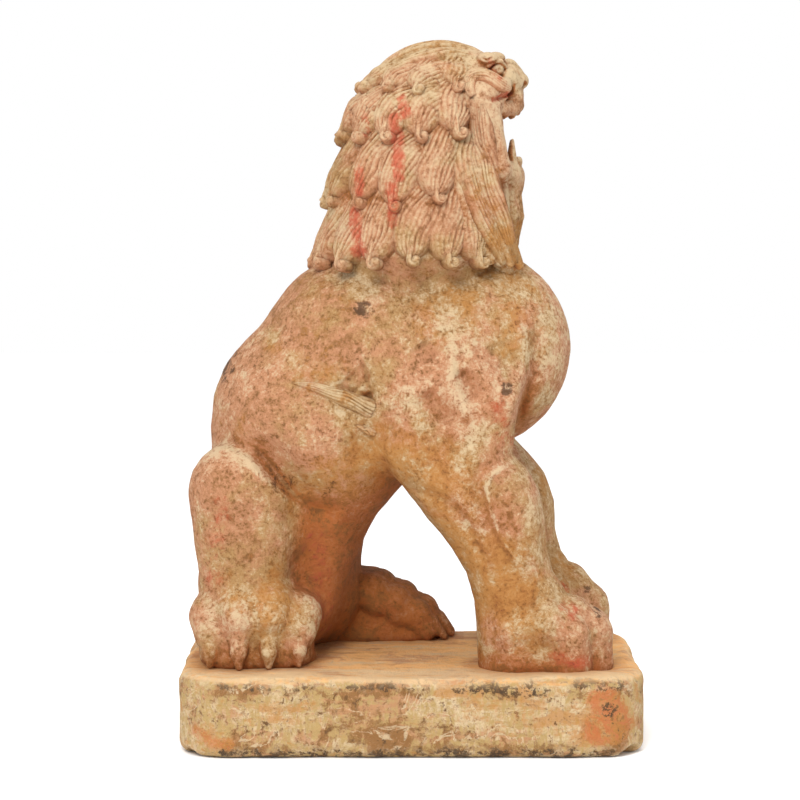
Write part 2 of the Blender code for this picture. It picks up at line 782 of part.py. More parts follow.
def paint(pieces):
    """Give each piece a stone of its own."""
    tones = {
        "plinth": (0.62, 0.44, 0.24),
        "torso": (0.66, 0.43, 0.27),
        "mane": (0.68, 0.42, 0.28),
        "paw": (0.64, 0.38, 0.24),
        "fang": (0.74, 0.62, 0.44),
        "eye": (0.30, 0.20, 0.15),
    }
    for name, obj in pieces.items():
        tone = next((tones[key] for key in tones if key in name), (0.65, 0.41, 0.26))
        obj.data.materials.clear()
        obj.data.materials.append(stone(name + "_stone", tone, 0.85))


def build():
    """Build the whole carving."""
    clear_scene()
    parts = new_collection("lion_carving")
    cutters = new_collection("cutters")
    pieces = {"plinth": make_plinth(parts)}
    body = make_body(parts, cutters)
    mane = make_mane(body, parts, cutters)
    pieces.update(body)
    pieces.update(mane)
    pieces.update(make_features(body, mane, parts, cutters))
    pieces.update(make_tail(body, parts, cutters))
    paint(pieces)
    for obj in list(cutters.objects):
        bpy.data.objects.remove(obj, do_unlink=True)
    bpy.data.collections.remove(cutters)


build()
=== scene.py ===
"""Carved skin, curled mane and weathered pigment for a seated stone lion.

Every place is given in the figure's own space unless a name says otherwise: x forward,
y to the lion's left of its middle plane, z above the plinth. Sizes are in metres, and the
numbers in tables and carve rows are in millimetres.
"""

import math

import bpy
import numpy as np
import openvdb
from bpy.props import FloatProperty, FloatVectorProperty, IntProperty, PointerProperty
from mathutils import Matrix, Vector


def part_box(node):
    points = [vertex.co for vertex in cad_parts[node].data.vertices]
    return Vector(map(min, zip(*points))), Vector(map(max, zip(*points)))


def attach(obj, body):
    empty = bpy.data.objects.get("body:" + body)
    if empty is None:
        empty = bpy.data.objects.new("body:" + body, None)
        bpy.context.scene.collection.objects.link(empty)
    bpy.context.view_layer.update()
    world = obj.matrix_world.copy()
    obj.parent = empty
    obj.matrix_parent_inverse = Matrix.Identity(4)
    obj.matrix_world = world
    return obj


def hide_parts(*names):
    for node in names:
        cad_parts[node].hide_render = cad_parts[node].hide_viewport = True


bl_info = {
    "name": "Seated stone lion",
    "version": (1, 0, 0),
    "blender": (4, 5, 0),
    "location": "View3D > Sidebar > Lion",
    "description": "Carves the skin of a seated lion and weathers its stone",
    "category": "Object",
}

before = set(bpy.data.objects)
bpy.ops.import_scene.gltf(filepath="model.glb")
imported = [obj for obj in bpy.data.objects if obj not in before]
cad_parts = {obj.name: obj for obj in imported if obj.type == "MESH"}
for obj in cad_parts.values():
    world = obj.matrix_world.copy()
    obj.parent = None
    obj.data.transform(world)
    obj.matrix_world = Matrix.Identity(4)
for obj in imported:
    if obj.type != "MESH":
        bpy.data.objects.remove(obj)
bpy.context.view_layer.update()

BODY = "root"
PLINTH_LOW, PLINTH_HIGH = (np.array(corner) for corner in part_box("plinth"))
MANE_LOW, MANE_HIGH = (np.array(corner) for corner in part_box("mane_tier_4"))
FIGURE_ORIGIN = np.array((0.0, (MANE_LOW[1] + MANE_HIGH[1]) / 2, PLINTH_HIGH[2]))
SIDES = (-1, 1)
SIDE_NAMES = ("right", "left")
MM = 0.001
# Depth of clay where no form has been joined yet
FAR = 1.0


def mm(*rows):
    """Turn rows of millimetres into an array of metres."""
    return np.array(rows) * MM


def line_of(numbers):
    """Turn x and z after x and z, in millimetres, into the points of a line."""
    return np.reshape(numbers, (-1, 2)) * MM


def color_property(name, default, description):
    """Describe a colour that a user may change."""
    return FloatVectorProperty(
        name=name, description=description, default=default, subtype="COLOR", min=0.0, max=1.0
    )


def size_property(name, default, description):
    """Describe a length that a user may change."""
    return FloatProperty(
        name=name, description=description, default=default, unit="LENGTH", min=0.0, precision=4
    )


class LionSizes(bpy.types.PropertyGroup):
    """Sizes of the carved detail."""

    figure_step: size_property("Figure step", 0.0018, "Fineness of the carved body")
    face_step: size_property("Face step", 0.0011, "Fineness of the carved face")
    plinth_step: size_property("Plinth step", 0.0022, "Fineness of the plinth")
    lock_half_width: size_property("Lock half-width", 0.0265, "Half-width of a lock at its belly")
    lock_dome: size_property("Lock dome", 0.0115, "How far a lock swells from the mane")
    curl_radius: size_property("Curl radius", 0.0056, "Radius at which a lock's tip starts to curl")
    groove_depth: size_property("Groove depth", 0.0021, "Depth of the carved hair grooves")
    strand_count: IntProperty(
        name="Strands", description="Strands that the grooves leave in a lock", default=10, min=2
    )
    lump_height: size_property("Lumps", 0.0011, "Height of the unevenness left by the chisel")


class LionColors(bpy.types.PropertyGroup):
    """Colours of the stone, of what is left of its pigments, and of the painted light and shade on it."""

    tan: color_property("Tan", (0.390, 0.220, 0.086), "Bare weathered stone")
    salmon: color_property("Salmon", (0.465, 0.214, 0.108), "Stone stained by red earth")
    # Cream is also laid as painted light on up-facing surfaces and as painted highlights on raised rims
    cream: color_property("Cream", (0.61, 0.470, 0.290), "Rubbed edges and left gesso")
    # Patina is also laid as painted shade on the beard, under the upper lip and through the recesses
    patina: color_property("Patina", (0.230, 0.106, 0.030), "Brown patina and speckle")
    # Orange-brown painted shade in recesses, under the body and on down-facing surfaces, with some earth
    # round the feet
    amber_earth_and_shade: color_property("Amber", (0.370, 0.100, 0.016), "Orange earth in deep recesses")
    # Dark soiling in pits, and soiling with painted shade in the hollows and carved grooves
    grime_and_shade: color_property("Grime", (0.160, 0.062, 0.018), "Dirt in the hollows")
    vermilion: color_property("Vermilion", (0.50, 0.085, 0.042), "Red pigment on the mane")
    ochre: color_property("Ochre", (0.440, 0.190, 0.045), "Yellow pigment")
    soot: color_property("Soot", (0.042, 0.026, 0.016), "Dark grey spots")
    sand: color_property("Sand", (0.80, 0.430, 0.160), "Worn top of the plinth")
    paint: color_property("Paint", (0.44, 0.295, 0.118), "Flaking cream paint of the plinth")


class LionStage(bpy.types.PropertyGroup):
    """Floor, lights and camera."""

    floor: color_property("Floor", (1.0, 1.0, 1.0), "Pale floor")
    sky_strength: FloatProperty(name="Sky", description="Strength of the even light", default=1.0)
    key_power: FloatProperty(
        name="Key", description="Power of the large front light", default=70.0, unit="POWER"
    )
    top_power: FloatProperty(
        name="Top", description="Power of the light from above", default=20.0, unit="POWER"
    )
    lens: FloatProperty(
        name="Lens", description="Focal length on a 36 mm frame", default=118.6, subtype="DISTANCE_CAMERA"
    )


class Clay:
    """Signed distances on a grid, to which rounded forms are joined or from which they are cut."""

    def __init__(self, low, high, step):
        self.low = np.array(low)
        self.step = step
        count = np.ceil((np.array(high) - self.low) / step).astype(int) + 1
        self.depth = np.full(count, FAR, np.float32)

    def window(self, low, high):
        """Return the slices of a box and the places of its cells along each axis."""
        first = np.floor((np.array(low) - self.low) / self.step).astype(int)
        last = np.ceil((np.array(high) - self.low) / self.step).astype(int) + 1
        first = np.clip(first, 0, self.depth.shape)
        last = np.clip(last, 0, self.depth.shape)
        part = tuple(slice(a, b) for a, b in zip(first, last))
        axes = [self.low[i] + self.step * np.arange(first[i], last[i]) for i in range(3)]
        return part, [a.astype(np.float32) for a in axes]

    def apply(self, form, blend, joined=True):
        """Join a form to the clay, or cut it out, with a soft edge."""
        low, high, distance = form
        reach = blend + 4 * self.step
        part, (x, y, z) = self.window(np.array(low) - reach, np.array(high) + reach)
        new = distance(x[:, None, None], y[None, :, None], z[None, None, :])
        sign = 1.0 if joined else -1.0
        old = sign * self.depth[part]
        share = np.clip(0.5 + 0.5 * (old - new) / blend, 0.0, 1.0)
        self.depth[part] = sign * (old + (new - old) * share - blend * share * (1.0 - share))

    def carve(self, rows, side=1):
        """Join or cut forms in order, on one side of the middle plane.

        A row has the kind of form, the softness of its edge, and the centre and radii of an
        egg or a hole, or stations of x, y, z and radius along a chain.
        """
        for kind, softness, *numbers in rows:
            blend = softness * MM
            if kind == "chain":
                stations = np.reshape(numbers, (-1, 4)) * MM * (1, side, 1, 1)
                for a, b in zip(stations, stations[1:]):
                    self.apply(bone(a, b), blend)
            else:
                center, radii = np.reshape(numbers, (2, 3)) * MM
                self.apply(egg(center * (1, side, 1), radii), blend, kind == "egg")

    def score(self, points, width, depth, side=0, end_width=None, steepness=2):
        """Press a line of x and z into the flank, or raise it where the depth is negative."""
        end_width = end_width or width
        margin = 3 * max(width, end_width)
        far = self.low[1] + self.step * self.depth.shape[1]
        low = (points[:, 0].min() - margin, self.low[1], points[:, 1].min() - margin)
        high = (points[:, 0].max() + margin, far, points[:, 1].max() + margin)
        part, (x, y, z) = self.window(low, high)
        gap, share = line_distance(x[:, None], z[None, :], points)
        ends = smooth_step(np.minimum(share, 1.0 - share), -0.04, 0.22)
        width = width + (end_width - width) * share
        press = depth * ends * np.exp(-((gap / width) ** steepness))
        weight = np.ones_like(y)
        if side:
            weight = 1.0 / (1.0 + np.exp(-side * (y - 0.012 * side) / 0.004))
        self.depth[part] += (press[:, None, :] * weight[None, :, None]).astype(np.float32)

    def sample(self, points):
        """Read the distance at some points, between the cells."""
        place = np.clip((points - self.low) / self.step, 0, np.array(self.depth.shape) - 1.001)
        base = place.astype(int)
        return blend_corners(self.depth, base, place - base)

    def slope(self, points):
        """Outward direction at some points."""
        steps = np.eye(3) * self.step
        rows = [self.sample(points + step) - self.sample(points - step) for step in steps]
        return unit(np.stack(rows, axis=1))

    def flank(self, x, z, side):
        """Find the skin at places of x and z, coming in from one side."""
        y = np.full(x.shape, side * 0.20)
        for _ in range(90):
            gap = self.sample(np.stack((x, y, z), axis=1))
            y = y - side * np.clip(gap, -0.02, 0.02) * 0.7
        return np.stack((x, y, z), axis=1)

    def cast(self):
        """Turn the clay's surface into points and quads of the figure's space."""
        grid = openvdb.FloatGrid(FAR)
        grid.copyFromArray(self.depth)
        grid.transform = openvdb.createLinearTransform(voxelSize=self.step)
        points, quads = grid.convertToQuads(0.0)
        return main_body(points.astype(float) + self.low, quads.astype(np.int32))


def bone(a, b, flat=1.0):
    """Tapered bone between two stations of x, y, z and radius."""
    low = np.minimum(a[:3] - a[3], b[:3] - b[3])
    high = np.maximum(a[:3] + a[3], b[:3] + b[3])
    axis = (b[:3] - a[:3]) * (1.0, flat, 1.0)
    span = max(float(axis @ axis), 1e-9)

    def distance(x, y, z):
        px, py, pz = x - a[0], (y - a[1]) * flat, z - a[2]
        share = np.clip((px * axis[0] + py * axis[1] + pz * axis[2]) / span, 0.0, 1.0)
        rest = (p - share * part for p, part in zip((px, py, pz), axis))
        return (length_of(*rest) - (a[3] + share * (b[3] - a[3]))) / max(flat, 1.0)

    return low, high, distance


def egg(center, radii):
    """Ellipsoid."""

    def distance(x, y, z):
        parts = (x - center[0], y - center[1], z - center[2])
        near = length_of(*(p / r for p, r in zip(parts, radii)))
        rate = length_of(*(p / r**2 for p, r in zip(parts, radii)))
        return near * (near - 1.0) / np.maximum(rate, 1e-6)

    return center - radii, center + radii, distance


def shaft(rows):
    """Upright limb with level sections: height, back, front, across and radius of each."""
    height, back, front, across, radius = rows.T
    low = (back.min() - radius.max(), across.min() - radius.max(), height[0])
    high = (front.max() + radius.max(), across.max() + radius.max(), height[-1])

    def distance(x, y, z):
        b, f, c, r = (np.interp(z, height, row) for row in (back, front, across, radius))
        wide = np.maximum(np.abs(x - (b + f) / 2) - (f - b) / 2, 0.0)
        gap = (np.sqrt(wide**2 + (y - c) ** 2) - r) * 0.88
        return np.maximum(gap, np.maximum(z - height[-1], height[0] - z))

    return low, high, distance


def block(low, high, corner, edge):
    """Box with rounded plan corners and eased level edges."""
    low, high = np.array(low), np.array(high)
    middle, half = (low + high) / 2, (high - low) / 2

    def eased(a, b, radius):
        return np.hypot(np.maximum(a, 0), np.maximum(b, 0)) + np.minimum(np.maximum(a, b), 0) - radius

    def distance(x, y, z):
        px, py, rise = (np.abs(p - m) - h for p, m, h in zip((x, y, z), middle, half))
        return eased(eased(px + corner, py + corner, corner) + edge, rise + edge, edge)

    return low, high, distance


def length_of(x, y, z):
    """Length of a vector given by its parts."""
    return np.sqrt(x**2 + y**2 + z**2)


def unit(vectors):
    """Scale vectors to length one."""
    return vectors / np.maximum(np.linalg.norm(vectors, axis=-1, keepdims=True), 1e-12)


def line_distance(x, z, points):
    """Distance in the plane of x and z to a line of points, and the share of the line passed there."""
    if len(points) == 1:
        return np.hypot(x - points[0][0], z - points[0][1]), 0.5
    best = np.full(np.broadcast(x, z).shape, FAR)
    passed = np.zeros_like(best)
    spans = np.hypot(*np.diff(points, axis=0).T)
    starts = np.concatenate(((0.0,), np.cumsum(spans)))
    for (ax, az), (bx, bz), start, span in zip(points, points[1:], starts, spans):
        share = np.clip(((x - ax) * (bx - ax) + (z - az) * (bz - az)) / span**2, 0.0, 1.0)
        gap = np.hypot(x - ax - share * (bx - ax), z - az - share * (bz - az))
        passed = np.where(gap < best, (start + share * span) / starts[-1], passed)
        best = np.minimum(best, gap)
    return best, passed


def blend_corners(table, base, share):
    """Read a table between its cells."""
    total = np.zeros(len(base))
    for corner in np.ndindex(2, 2, 2):
        weight = np.prod(np.where(corner, share, 1.0 - share), axis=1)
        total += weight * table[tuple(((base + corner) % table.shape).T)]
    return total


def grain(points, size, seed):
    """Smooth noise between -1 and 1 whose lumps have a given size."""
    table = np.random.default_rng(seed).uniform(-1.0, 1.0, (32, 32, 32))
    place = points / size + 7.3 * seed
    base = np.floor(place).astype(int)
    return blend_corners(table, base, smooth_step(place - base, 0.0, 1.0))


def smooth_step(value, low, high):
    """Rise softly from 0 to 1 between two values."""
    share = np.clip((value - low) / (high - low), 0.0, 1.0)
    return share * share * (3.0 - 2.0 * share)


def edges_of(quads):
    """Pairs of points that share an edge."""
    return np.concatenate([quads[:, [i, (i + 1) % 4]] for i in range(4)])


def main_body(points, quads):
    """Keep the largest skin of a surface, without the small bubbles inside the stone."""
    first, second = edges_of(quads).T
    label = np.arange(len(points))
    old = None
    while old is None or (label != old).any():
        old = label
        low = np.minimum(old[first], old[second])
        label = old.copy()
        np.minimum.at(label, old[first], low)
        np.minimum.at(label, old[second], low)
        label = label[label]
    kept = label == np.bincount(label).argmax()
    number = np.cumsum(kept) - 1
    return points[kept], number[quads[kept[quads[:, 0]]]]


def spread(points, quads, rounds):
    """Average points over their neighbours."""
    first, second = edges_of(quads).T
    size = len(points)
    count = np.bincount(first, minlength=size) + np.bincount(second, minlength=size)
    for _ in range(rounds):
        columns = []
        for column in points.T:
            total = np.bincount(first, column[second], size) + np.bincount(second, column[first], size)
            columns.append(0.4 * column + 0.6 * total / np.maximum(count, 1.0))
        points = np.stack(columns, axis=1)
    return points


def normals_of(points, quads):
    """Outward directions at the points of a closed surface."""
    a, b, c, d = (points[quads[:, i]] for i in range(4))
    face = np.cross(c - a, d - b)
    normal = np.zeros_like(points)
    for corner in quads.T:
        for axis in range(3):
            normal[:, axis] += np.bincount(corner, face[:, axis], len(points))
    return unit(normal)


def hollows(points, quads, rounds):
    """How far each point lies under, or stands over, its surroundings, in metres."""
    mean = spread(points, quads, rounds)
    return np.einsum("ij,ij->i", normals_of(points, quads), mean - points)


def recess(clay, points, quads):
    """Share of the sky near each point that other stone hides, from 0 to 1."""
    normals = normals_of(points, quads)
    total = np.zeros(len(points))
    for reach in (0.008, 0.016, 0.032, 0.060):
        total += 1.0 - np.clip(clay.sample(points + normals * reach) / reach, 0.0, 1.0)
    return total / 4.0


def stains_and_shade(points):
    """Strength of the earth staining and painted shade at the feet, and of the painted shade between the
    legs, from 0 to 1.
    """
    x, y, z = points.T
    low = 1.0 - smooth_step(z, 0.0, 0.035)
    behind = smooth_step(x, -0.132, -0.106) * (1.0 - smooth_step(x, 0.0, 0.070))
    inner = smooth_step(y, -0.095, -0.055) * behind * (1.0 - smooth_step(z, 0.100, 0.230))
    return np.maximum(0.5 * low, 0.92 * inner)


def roughen(points, quads, height, seed, pits=1.0):
    """Move a surface by the unevenness that the chisel and the weather leave."""
    rise = height * grain(points, 0.046, seed)
    rise += 0.55 * height * grain(points, 0.017, seed + 1)
    rise += 0.20 * height * grain(points, 0.0065, seed + 2)
    rise -= pits * 0.45 * height * smooth_step(grain(points, 0.008, seed + 3), 0.45, 0.85)
    return points + normals_of(points, quads) * rise[:, None]


# Dabs of pigment, painted highlights and painted shade on the flanks: strength, half-width, and x and z
# along a line
PIGMENT = {
    "vermilion": (
        (0.9, 7, -10, 574, -7, 560),
        (1.0, 7.5, -16, 553, -13, 532, -12, 497),
        (0.8, 7, -20, 488, -19, 450),
        (0.9, 8, -58, 458, -53, 420),
        (0.8, 6, -53, 503, -52, 481),
        (0.7, 6, -47, 556, -45, 541),
        (0.5, 14, -100, 128, -90, 80, -88, 30),
        (0.5, 10, -190, 170, -200, 90),
        (0.5, 10, 85, 270, 98, 225),
        (0.7, 7, 152, 66, 162, 60),
        (0.6, 8, 140, 16, 176, 10),
        (0.8, 3, 83, 573, 101, 580),
        (0.6, 4, 88, 594, 80, 612),
        (1.0, 19, 190, -22, 206, -46, 186, -52),
        (0.75, 8, -212, -56, -200, -64, -182, -67),
        (0.35, 12, 80, -50, 120, -40),
    ),
    "ochre": (
        (0.9, 18, 78, 486, 92, 440),
        (1.0, 5.5, 76, 566, 78, 545),
        (0.9, 6.5, 73, 531, 69, 515),
        (0.9, 36, 40, 190, 80, 110, 85, 20),
        (0.8, 34, -80, 190, -50, 190, -20, 220),
        (0.5, 26, -130, 330, -90, 300, -110, 370),
        (0.45, 26, 20, 350, 40, 370, 90, 340),
        (0.7, 20, -205, 260, -170, 240),
        (0.5, 40, 120, 30),
        (0.4, 40, -160, 60),
    ),
    "cream": (
        (0.9, 22, 0, 276, 55, 250),
        (0.7, 24, 30, 340, 65, 300),
        (0.9, 30, 128, 360, 146, 290),
        (0.5, 30, -120, 210, -60, 230),
        (0.7, 12, 40, 200, 75, 130),
        (0.6, 14, 128, 180, 118, 110),
        (0.6, 20, -200, 60, -110, 50),
        (0.4, 10, -110, 288, -45, 264),
        # Painted highlight along the raised rim on the forearm
        (1.0, 2.4, 100, 210, 81, 200, 74, 187, 78, 168, 87.5, 139, 110, 104),
        # Painted highlight along the rim of the raised knee
        (0.9, 5, -205, 216, -189, 222, -168, 215, -149, 194, -128, 172, -108, 159),
        (0.9, 12, -200, 58, -160, 66, -120, 52),
        (0.8, 10, 100, 600, 108, 594),
        (0.8, 8, 78, 617),
        (0.8, 6, 184, -14, 196, -24),
        (0.5, 16, -180, -30, 20, -34, 120, -26),
    ),
    "patina": (
        (0.9, 34, -125, 370, -85, 340),
        (0.7, 34, -165, 300, -130, 245),
        (0.7, 34, -115, 175, -50, 200),
        (0.8, 28, -185, 180, -165, 110),
        (1.0, 12, 15, 278, 35, 250),
        (1.0, 11, 64, 298, 77, 268),
        (0.6, 24, -20, 345, 10, 310),
        (0.7, 16, 98, 180, 108, 140),
        (0.6, 22, -70, 520, -50, 470),
        (0.5, 20, -30, 470, 30, 440),
        # Painted shade on the beard under the chin
        (1.0, 10, 112, 480, 110, 415),
        # Painted shade under the upper lip
        (0.8, 8, 100, 565, 112, 570),
        (0.5, 5, -200, -14, 20, -13),
        (0.9, 9, 20, -14, 200, -16),
        (0.5, 20, -60, -50, 40, -60),
        (0.9, 9, -200, -74, -80, -76, 200, -75),
    ),
    "soot": (
        (0.9, 11, -46, 364),
        (1.0, 7, 96, 284),
        (0.7, 6, 189, 57),
        (0.6, 16, -130, 190),
        (0.6, 12, -186, 330, -196, 290),
        (0.5, 14, -150, 300),
        (0.5, 14, -90, 180),
        (0.42, 4, -190, -9, 30, -8),
        (0.8, 3.5, -62, -9, -20, -8),
        (0.72, 7.5, 40, -10, 135, -12),
        (0.95, 6, 166, -6, 206, -7),
        (0.9, 10, 196, -32),
        (0.75, 6, -200, -77, 200, -77),
    ),
}


def pigment_masks(points):
    """Strength of each pigment at some points of the figure's space."""
    masks = {}
    for name, dabs in PIGMENT.items():
        mask = np.zeros(len(points))
        for strength, half_width, *line in dabs:
            gap, _ = line_distance(points[:, 0], points[:, 2], line_of(line))
            faded = smooth_step(gap, 0.35 * MM * half_width, 1.6 * MM * half_width)
            mask = np.maximum(mask, strength * (1.0 - faded))
        masks[name] = mask
    return masks


def make_piece(name, points, quads, masks, finish, nodes):
    """Make a piece that rides on the carving and stands for some of its nodes."""
    mesh = bpy.data.meshes.new(name)
    mesh.from_pydata(points + FIGURE_ORIGIN, [], quads)
    for label, values in masks.items():
        layer = mesh.attributes.new(label, "FLOAT", "POINT")
        layer.data.foreach_set("value", np.asarray(values, np.float32))
    mesh.polygons.foreach_set("use_smooth", np.ones(len(mesh.polygons), bool))
    mesh.materials.append(finish)
    mesh.validate()
    mesh.update()
    piece = bpy.data.objects.new(name, mesh)
    bpy.context.scene.collection.objects.link(piece)
    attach(piece, BODY)
    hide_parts(*nodes)


# Torso from the chest to the rump: x, y, z, radius
SPINE = mm(
    (61, 0, 318, 104),
    (-38, 0, 305, 114),
    (-98, 0, 242, 108),
    (-132, 22, 150, 86),
    (-146, 14, 70, 78),
)
# How much narrower than deep each stretch of the torso is
SPINE_FLATNESS = (1.20, 1.10, 1.02, 1.0)
RUMP = (("egg", 12, -120, 58, 56, 66, 62, 62),)

# Sections of a foreleg from the sole up: height, back, front, radius
FORELEG = mm(
    (-4, 106, 142, 37),
    (66, 101, 128, 36),
    (96, 93, 106, 37),
    (120, 79, 99, 38),
    (149, 58, 96, 40),
    (179, 36, 88, 41),
    (201, 19, 73, 41.5),
    (216, 9, 59.5, 42),
    (245, 6, 62, 42.5),
    (272, 3, 71, 43),
    (322, 0, 54, 40),
    (355, 6, 40, 32),
    (380, 12, 28, 18),
)
# Heights in metres at which the forelegs draw together, and the share of their spread left there
SHOULDER_HEIGHTS = (0.215, 0.272, 0.322, 0.380)
SHOULDER_SPREAD = (1.0, 0.93, 0.79, 0.45)
FORELEG_SPREAD = 80
LEFT_REACH = 18
LEFT_PAW_RISE = 10
# Places of the four toes across a paw
TOES = (-1.5, -0.5, 0.5, 1.5)


def carve_foreleg(clay, side):
    """Foreleg with a paw of four blunt toes."""
    reach, rise = (LEFT_REACH, LEFT_PAW_RISE) if side > 0 else (0, 0)
    middle = side * FORELEG_SPREAD
    height, back, front, radius = FORELEG.T
    lean = reach * MM * np.clip((0.300 - height) / 0.150, 0.0, 1.0)
    across = middle * MM * np.interp(height, SHOULDER_HEIGHTS, SHOULDER_SPREAD)
    sections = np.stack((height, back + lean, front + lean, across, radius), axis=1)
    clay.apply(shaft(sections), blend=0.020)
    ahead = 0.5 * reach
    sole = mm((86 + ahead, middle - 44, -4), (166 + ahead, middle + 44, 46))
    clay.apply(block(*sole, corner=0.024, edge=0.014), blend=0.008)
    for place in TOES:
        y = middle + 20 * place
        outer = abs(place) - 0.5
        x = ahead - 24 * outer
        knuckle = (x + 124, y, 40 + rise, 22 - 7 * outer)
        crest = (x + 162, y, 48 + rise, 21.5)
        tip = (x + 183, y, 36, 20.5, x + 187, y, 4, 19)
        clay.carve((("chain", 6, *knuckle, *crest, *tip),))


# Column of the right hind leg from the sole up: height, back, front, across, radius
HIND_COLUMN = mm(
    (-4, -182, -134, -42, 36),
    (30, -180, -138, -44, 36),
    (50, -176, -146, -47, 42),
    (88, -177, -164, -52, 41),
    (130, -180, -160, -54, 43),
    (172, -181, -164, -55, 44),
    (195, -184, -168, -56, 37),
)
# Valley between the raised knee and the flank: points of x and z
THIGH_VALLEY = mm(
    (-156, 240), (-134, 208), (-112, 180), (-90, 160), (-70, 148),
)
UNDER_THIGH = (("hole", 16, -96, -80, 56, 34, 44, 86),)
RAISED_KNEE = (
    ("egg", 6, -180, -56, 176, 48, 47, 49),
    ("chain", 6, -176, -52, 170, 46, -148, -30, 142, 50),
    ("egg", 8, -159, -60, 44, 58, 44, 40),
)
RIGHT_HIND_SOLE = mm((-217, -103, -4), (-101, -30, 44))
# Toes of the right hind paw: place along it, how far each is set in, and how much higher it is
RIGHT_HIND_TOES = ((-1.5, 12, -14), (-0.5, 1, 0), (0.5, 2, 2), (1.5, 13, -12))


def carve_right_hind_leg(clay):
    """Raised knee, upright shank and a clawed paw that points to the lion's right."""
    clay.carve(UNDER_THIGH)
    clay.score(THIGH_VALLEY, width=0.017, depth=0.011, side=-1)
    clay.apply(shaft(HIND_COLUMN), blend=0.006)
    clay.carve(RAISED_KNEE)
    clay.apply(block(*RIGHT_HIND_SOLE, corner=0.034, edge=0.014), blend=0.008)
    for place, y, z in RIGHT_HIND_TOES:
        x = -159 + 30 * place
        toe = (x, y - 50, z + 61, 24, x, y - 83, z + 62, 21.5, x, y - 97, z + 48, 18)
        claw = (x, y - 103, 30, 9.5, x, y - 110, 17, 7.8, x, y - 111, 3, 3.8)
        clay.carve((("chain", 7.5, *toe), ("chain", 4, *claw)))


LEFT_HAUNCH = (
    ("chain", 16, -122, 50, 146, 66, -100, 84, 120, 47, -100, 88, 30, 45),
    ("chain", 8, -80, 92, 40, 36, -40, 92, 36, 30),
)
LEFT_HIND_SOLE = mm((-115, 58, -4), (20, 128, 34))
# Steps down a toe of the left hind paw, and its claw: x, z, radius
LEFT_HIND_TOE = (
    (-56, 55, 20),
    (-34, 52, 19.5),
    (-28, 44, 19),
    (-9, 41, 18.5),
    (-3, 32, 18),
    (13, 28, 17),
    (24, 12, 14),
)
LEFT_HIND_CLAW = ((30, 18, 9), (44, 4, 4))


def carve_left_hind_leg(clay):
    """Folded haunch on the lion's left, with a stepped paw that points forward."""
    clay.carve(LEFT_HAUNCH)
    clay.apply(block(*LEFT_HIND_SOLE, corner=0.020, edge=0.010), blend=0.006)
    for place in TOES:
        y = 92 + 16.5 * place
        tip = -8 * (abs(place) - 0.5)
        for softness, steps in ((3, LEFT_HIND_TOE), (2, LEFT_HIND_CLAW)):
            stations = [(x + tip, y, z, radius) for x, z, radius in steps]
            clay.carve((("chain", softness, *np.ravel(stations)),))


TAIL_ROPE = (("chain", 6, -190, 28, 84, 18, -203, 60, 52, 16, -190, 96, 22, 14.5, -158, 117, 16, 15),)
# Flames of the tail's tuft: how far each reaches forward and up
TAIL_FLAMES = ((0, 94), (16, 86), (30, 68), (46, 46))


def carve_tail(clay):
    """Tail that runs from the rump round the left haunch to a flame-like tuft."""
    clay.carve(TAIL_ROPE)
    for reach, rise in TAIL_FLAMES:
        bend = (-146 + 0.6 * reach, 121, 0.52 * rise, 12.5)
        clay.carve((("chain", 2.5, -158, 117, 18, 14, *bend, -134 + reach, 117, rise, 4),))


# Lines cut into the flanks: side (0 is both), width, depth, and x and z along the line
CARVED_LINES = (
    (0, 6.5, 7, 123, 352, 127, 318, 124, 294, 113, 268, 107, 240),
    (0, 7, -3.4, 110, 350, 114, 318, 112, 297, 101, 268, 96, 236),
    (0, 15, 5, -64, 298, -50, 284),
    (0, 3.4, 4, -50, 314, -45, 296, -38, 270),
    (0, 3.4, 3, -38, 272, -56, 280, -78, 288),
    (0, 5, 5, -44, 275),
    (-1, 5, 3.6, -12, 187, 33, 174, 52, 158, 65, 133, 77, 107, 81, 88),
    (-1, 7, -2.4, 6, 200, 40, 184, 62, 162, 76, 132),
    (-1, 2.6, -3.2, 100, 210, 81, 200, 74, 187, 78, 168, 87.5, 139, 110, 104),
    (-1, 5.5, 1.6, 94, 198, 86, 182, 92, 158, 102, 134),
    (-1, 5, 2, 94, 216, 70, 206, 62, 186, 67, 162, 80, 132),
    (-1, 5, 4.2, -160, 226, -140, 199, -119, 172, -101, 158, -86, 151),
    (-1, 5.5, -2.6, -211, 220, -189, 223, -168, 215, -149, 194, -128, 172, -108, 159),
    (0, 10.5, 7.8, 12, 284, 24, 268, 37, 248),
    (0, 10.5, 7.2, 48, 304, 57, 288, 68, 270),
    (0, 10.5, 5.6, 8, 330, 22, 312),
    (0, 11, 4, 60, 322, 86, 316),
    (0, 8, -4.8, 40, 346, 41, 320, 40, 300, 50, 271, 61, 246),
    (0, 8, -3.6, -6, 290, 2, 262, 14, 240),
    (0, 12, 3.4, 84, 330, 94, 300),
    (0, 20, 2.2, -100, 300, -130, 250),
    (0, 12, 2.6, -60, 240, -52, 205),
)
# Raised muscle of the right forearm: points of x and z
FOREARM = mm(
    (94, 206), (104, 172), (111, 140), (120, 104),
)

# Outline of the mane: height, middle, half-length, half-width
MANE_OUTLINE = mm(
    (380, 1, 103, 104),
    (408, 2, 102, 103),
    (460, 6, 94, 96),
    (500, 9, 91, 92),
    (540, 12, 82, 84),
    (570, 14, 77, 77),
    (603, 28, 67, 61),
    (628, 33, 44, 42),
)
MANE_RELIEF = 0.011


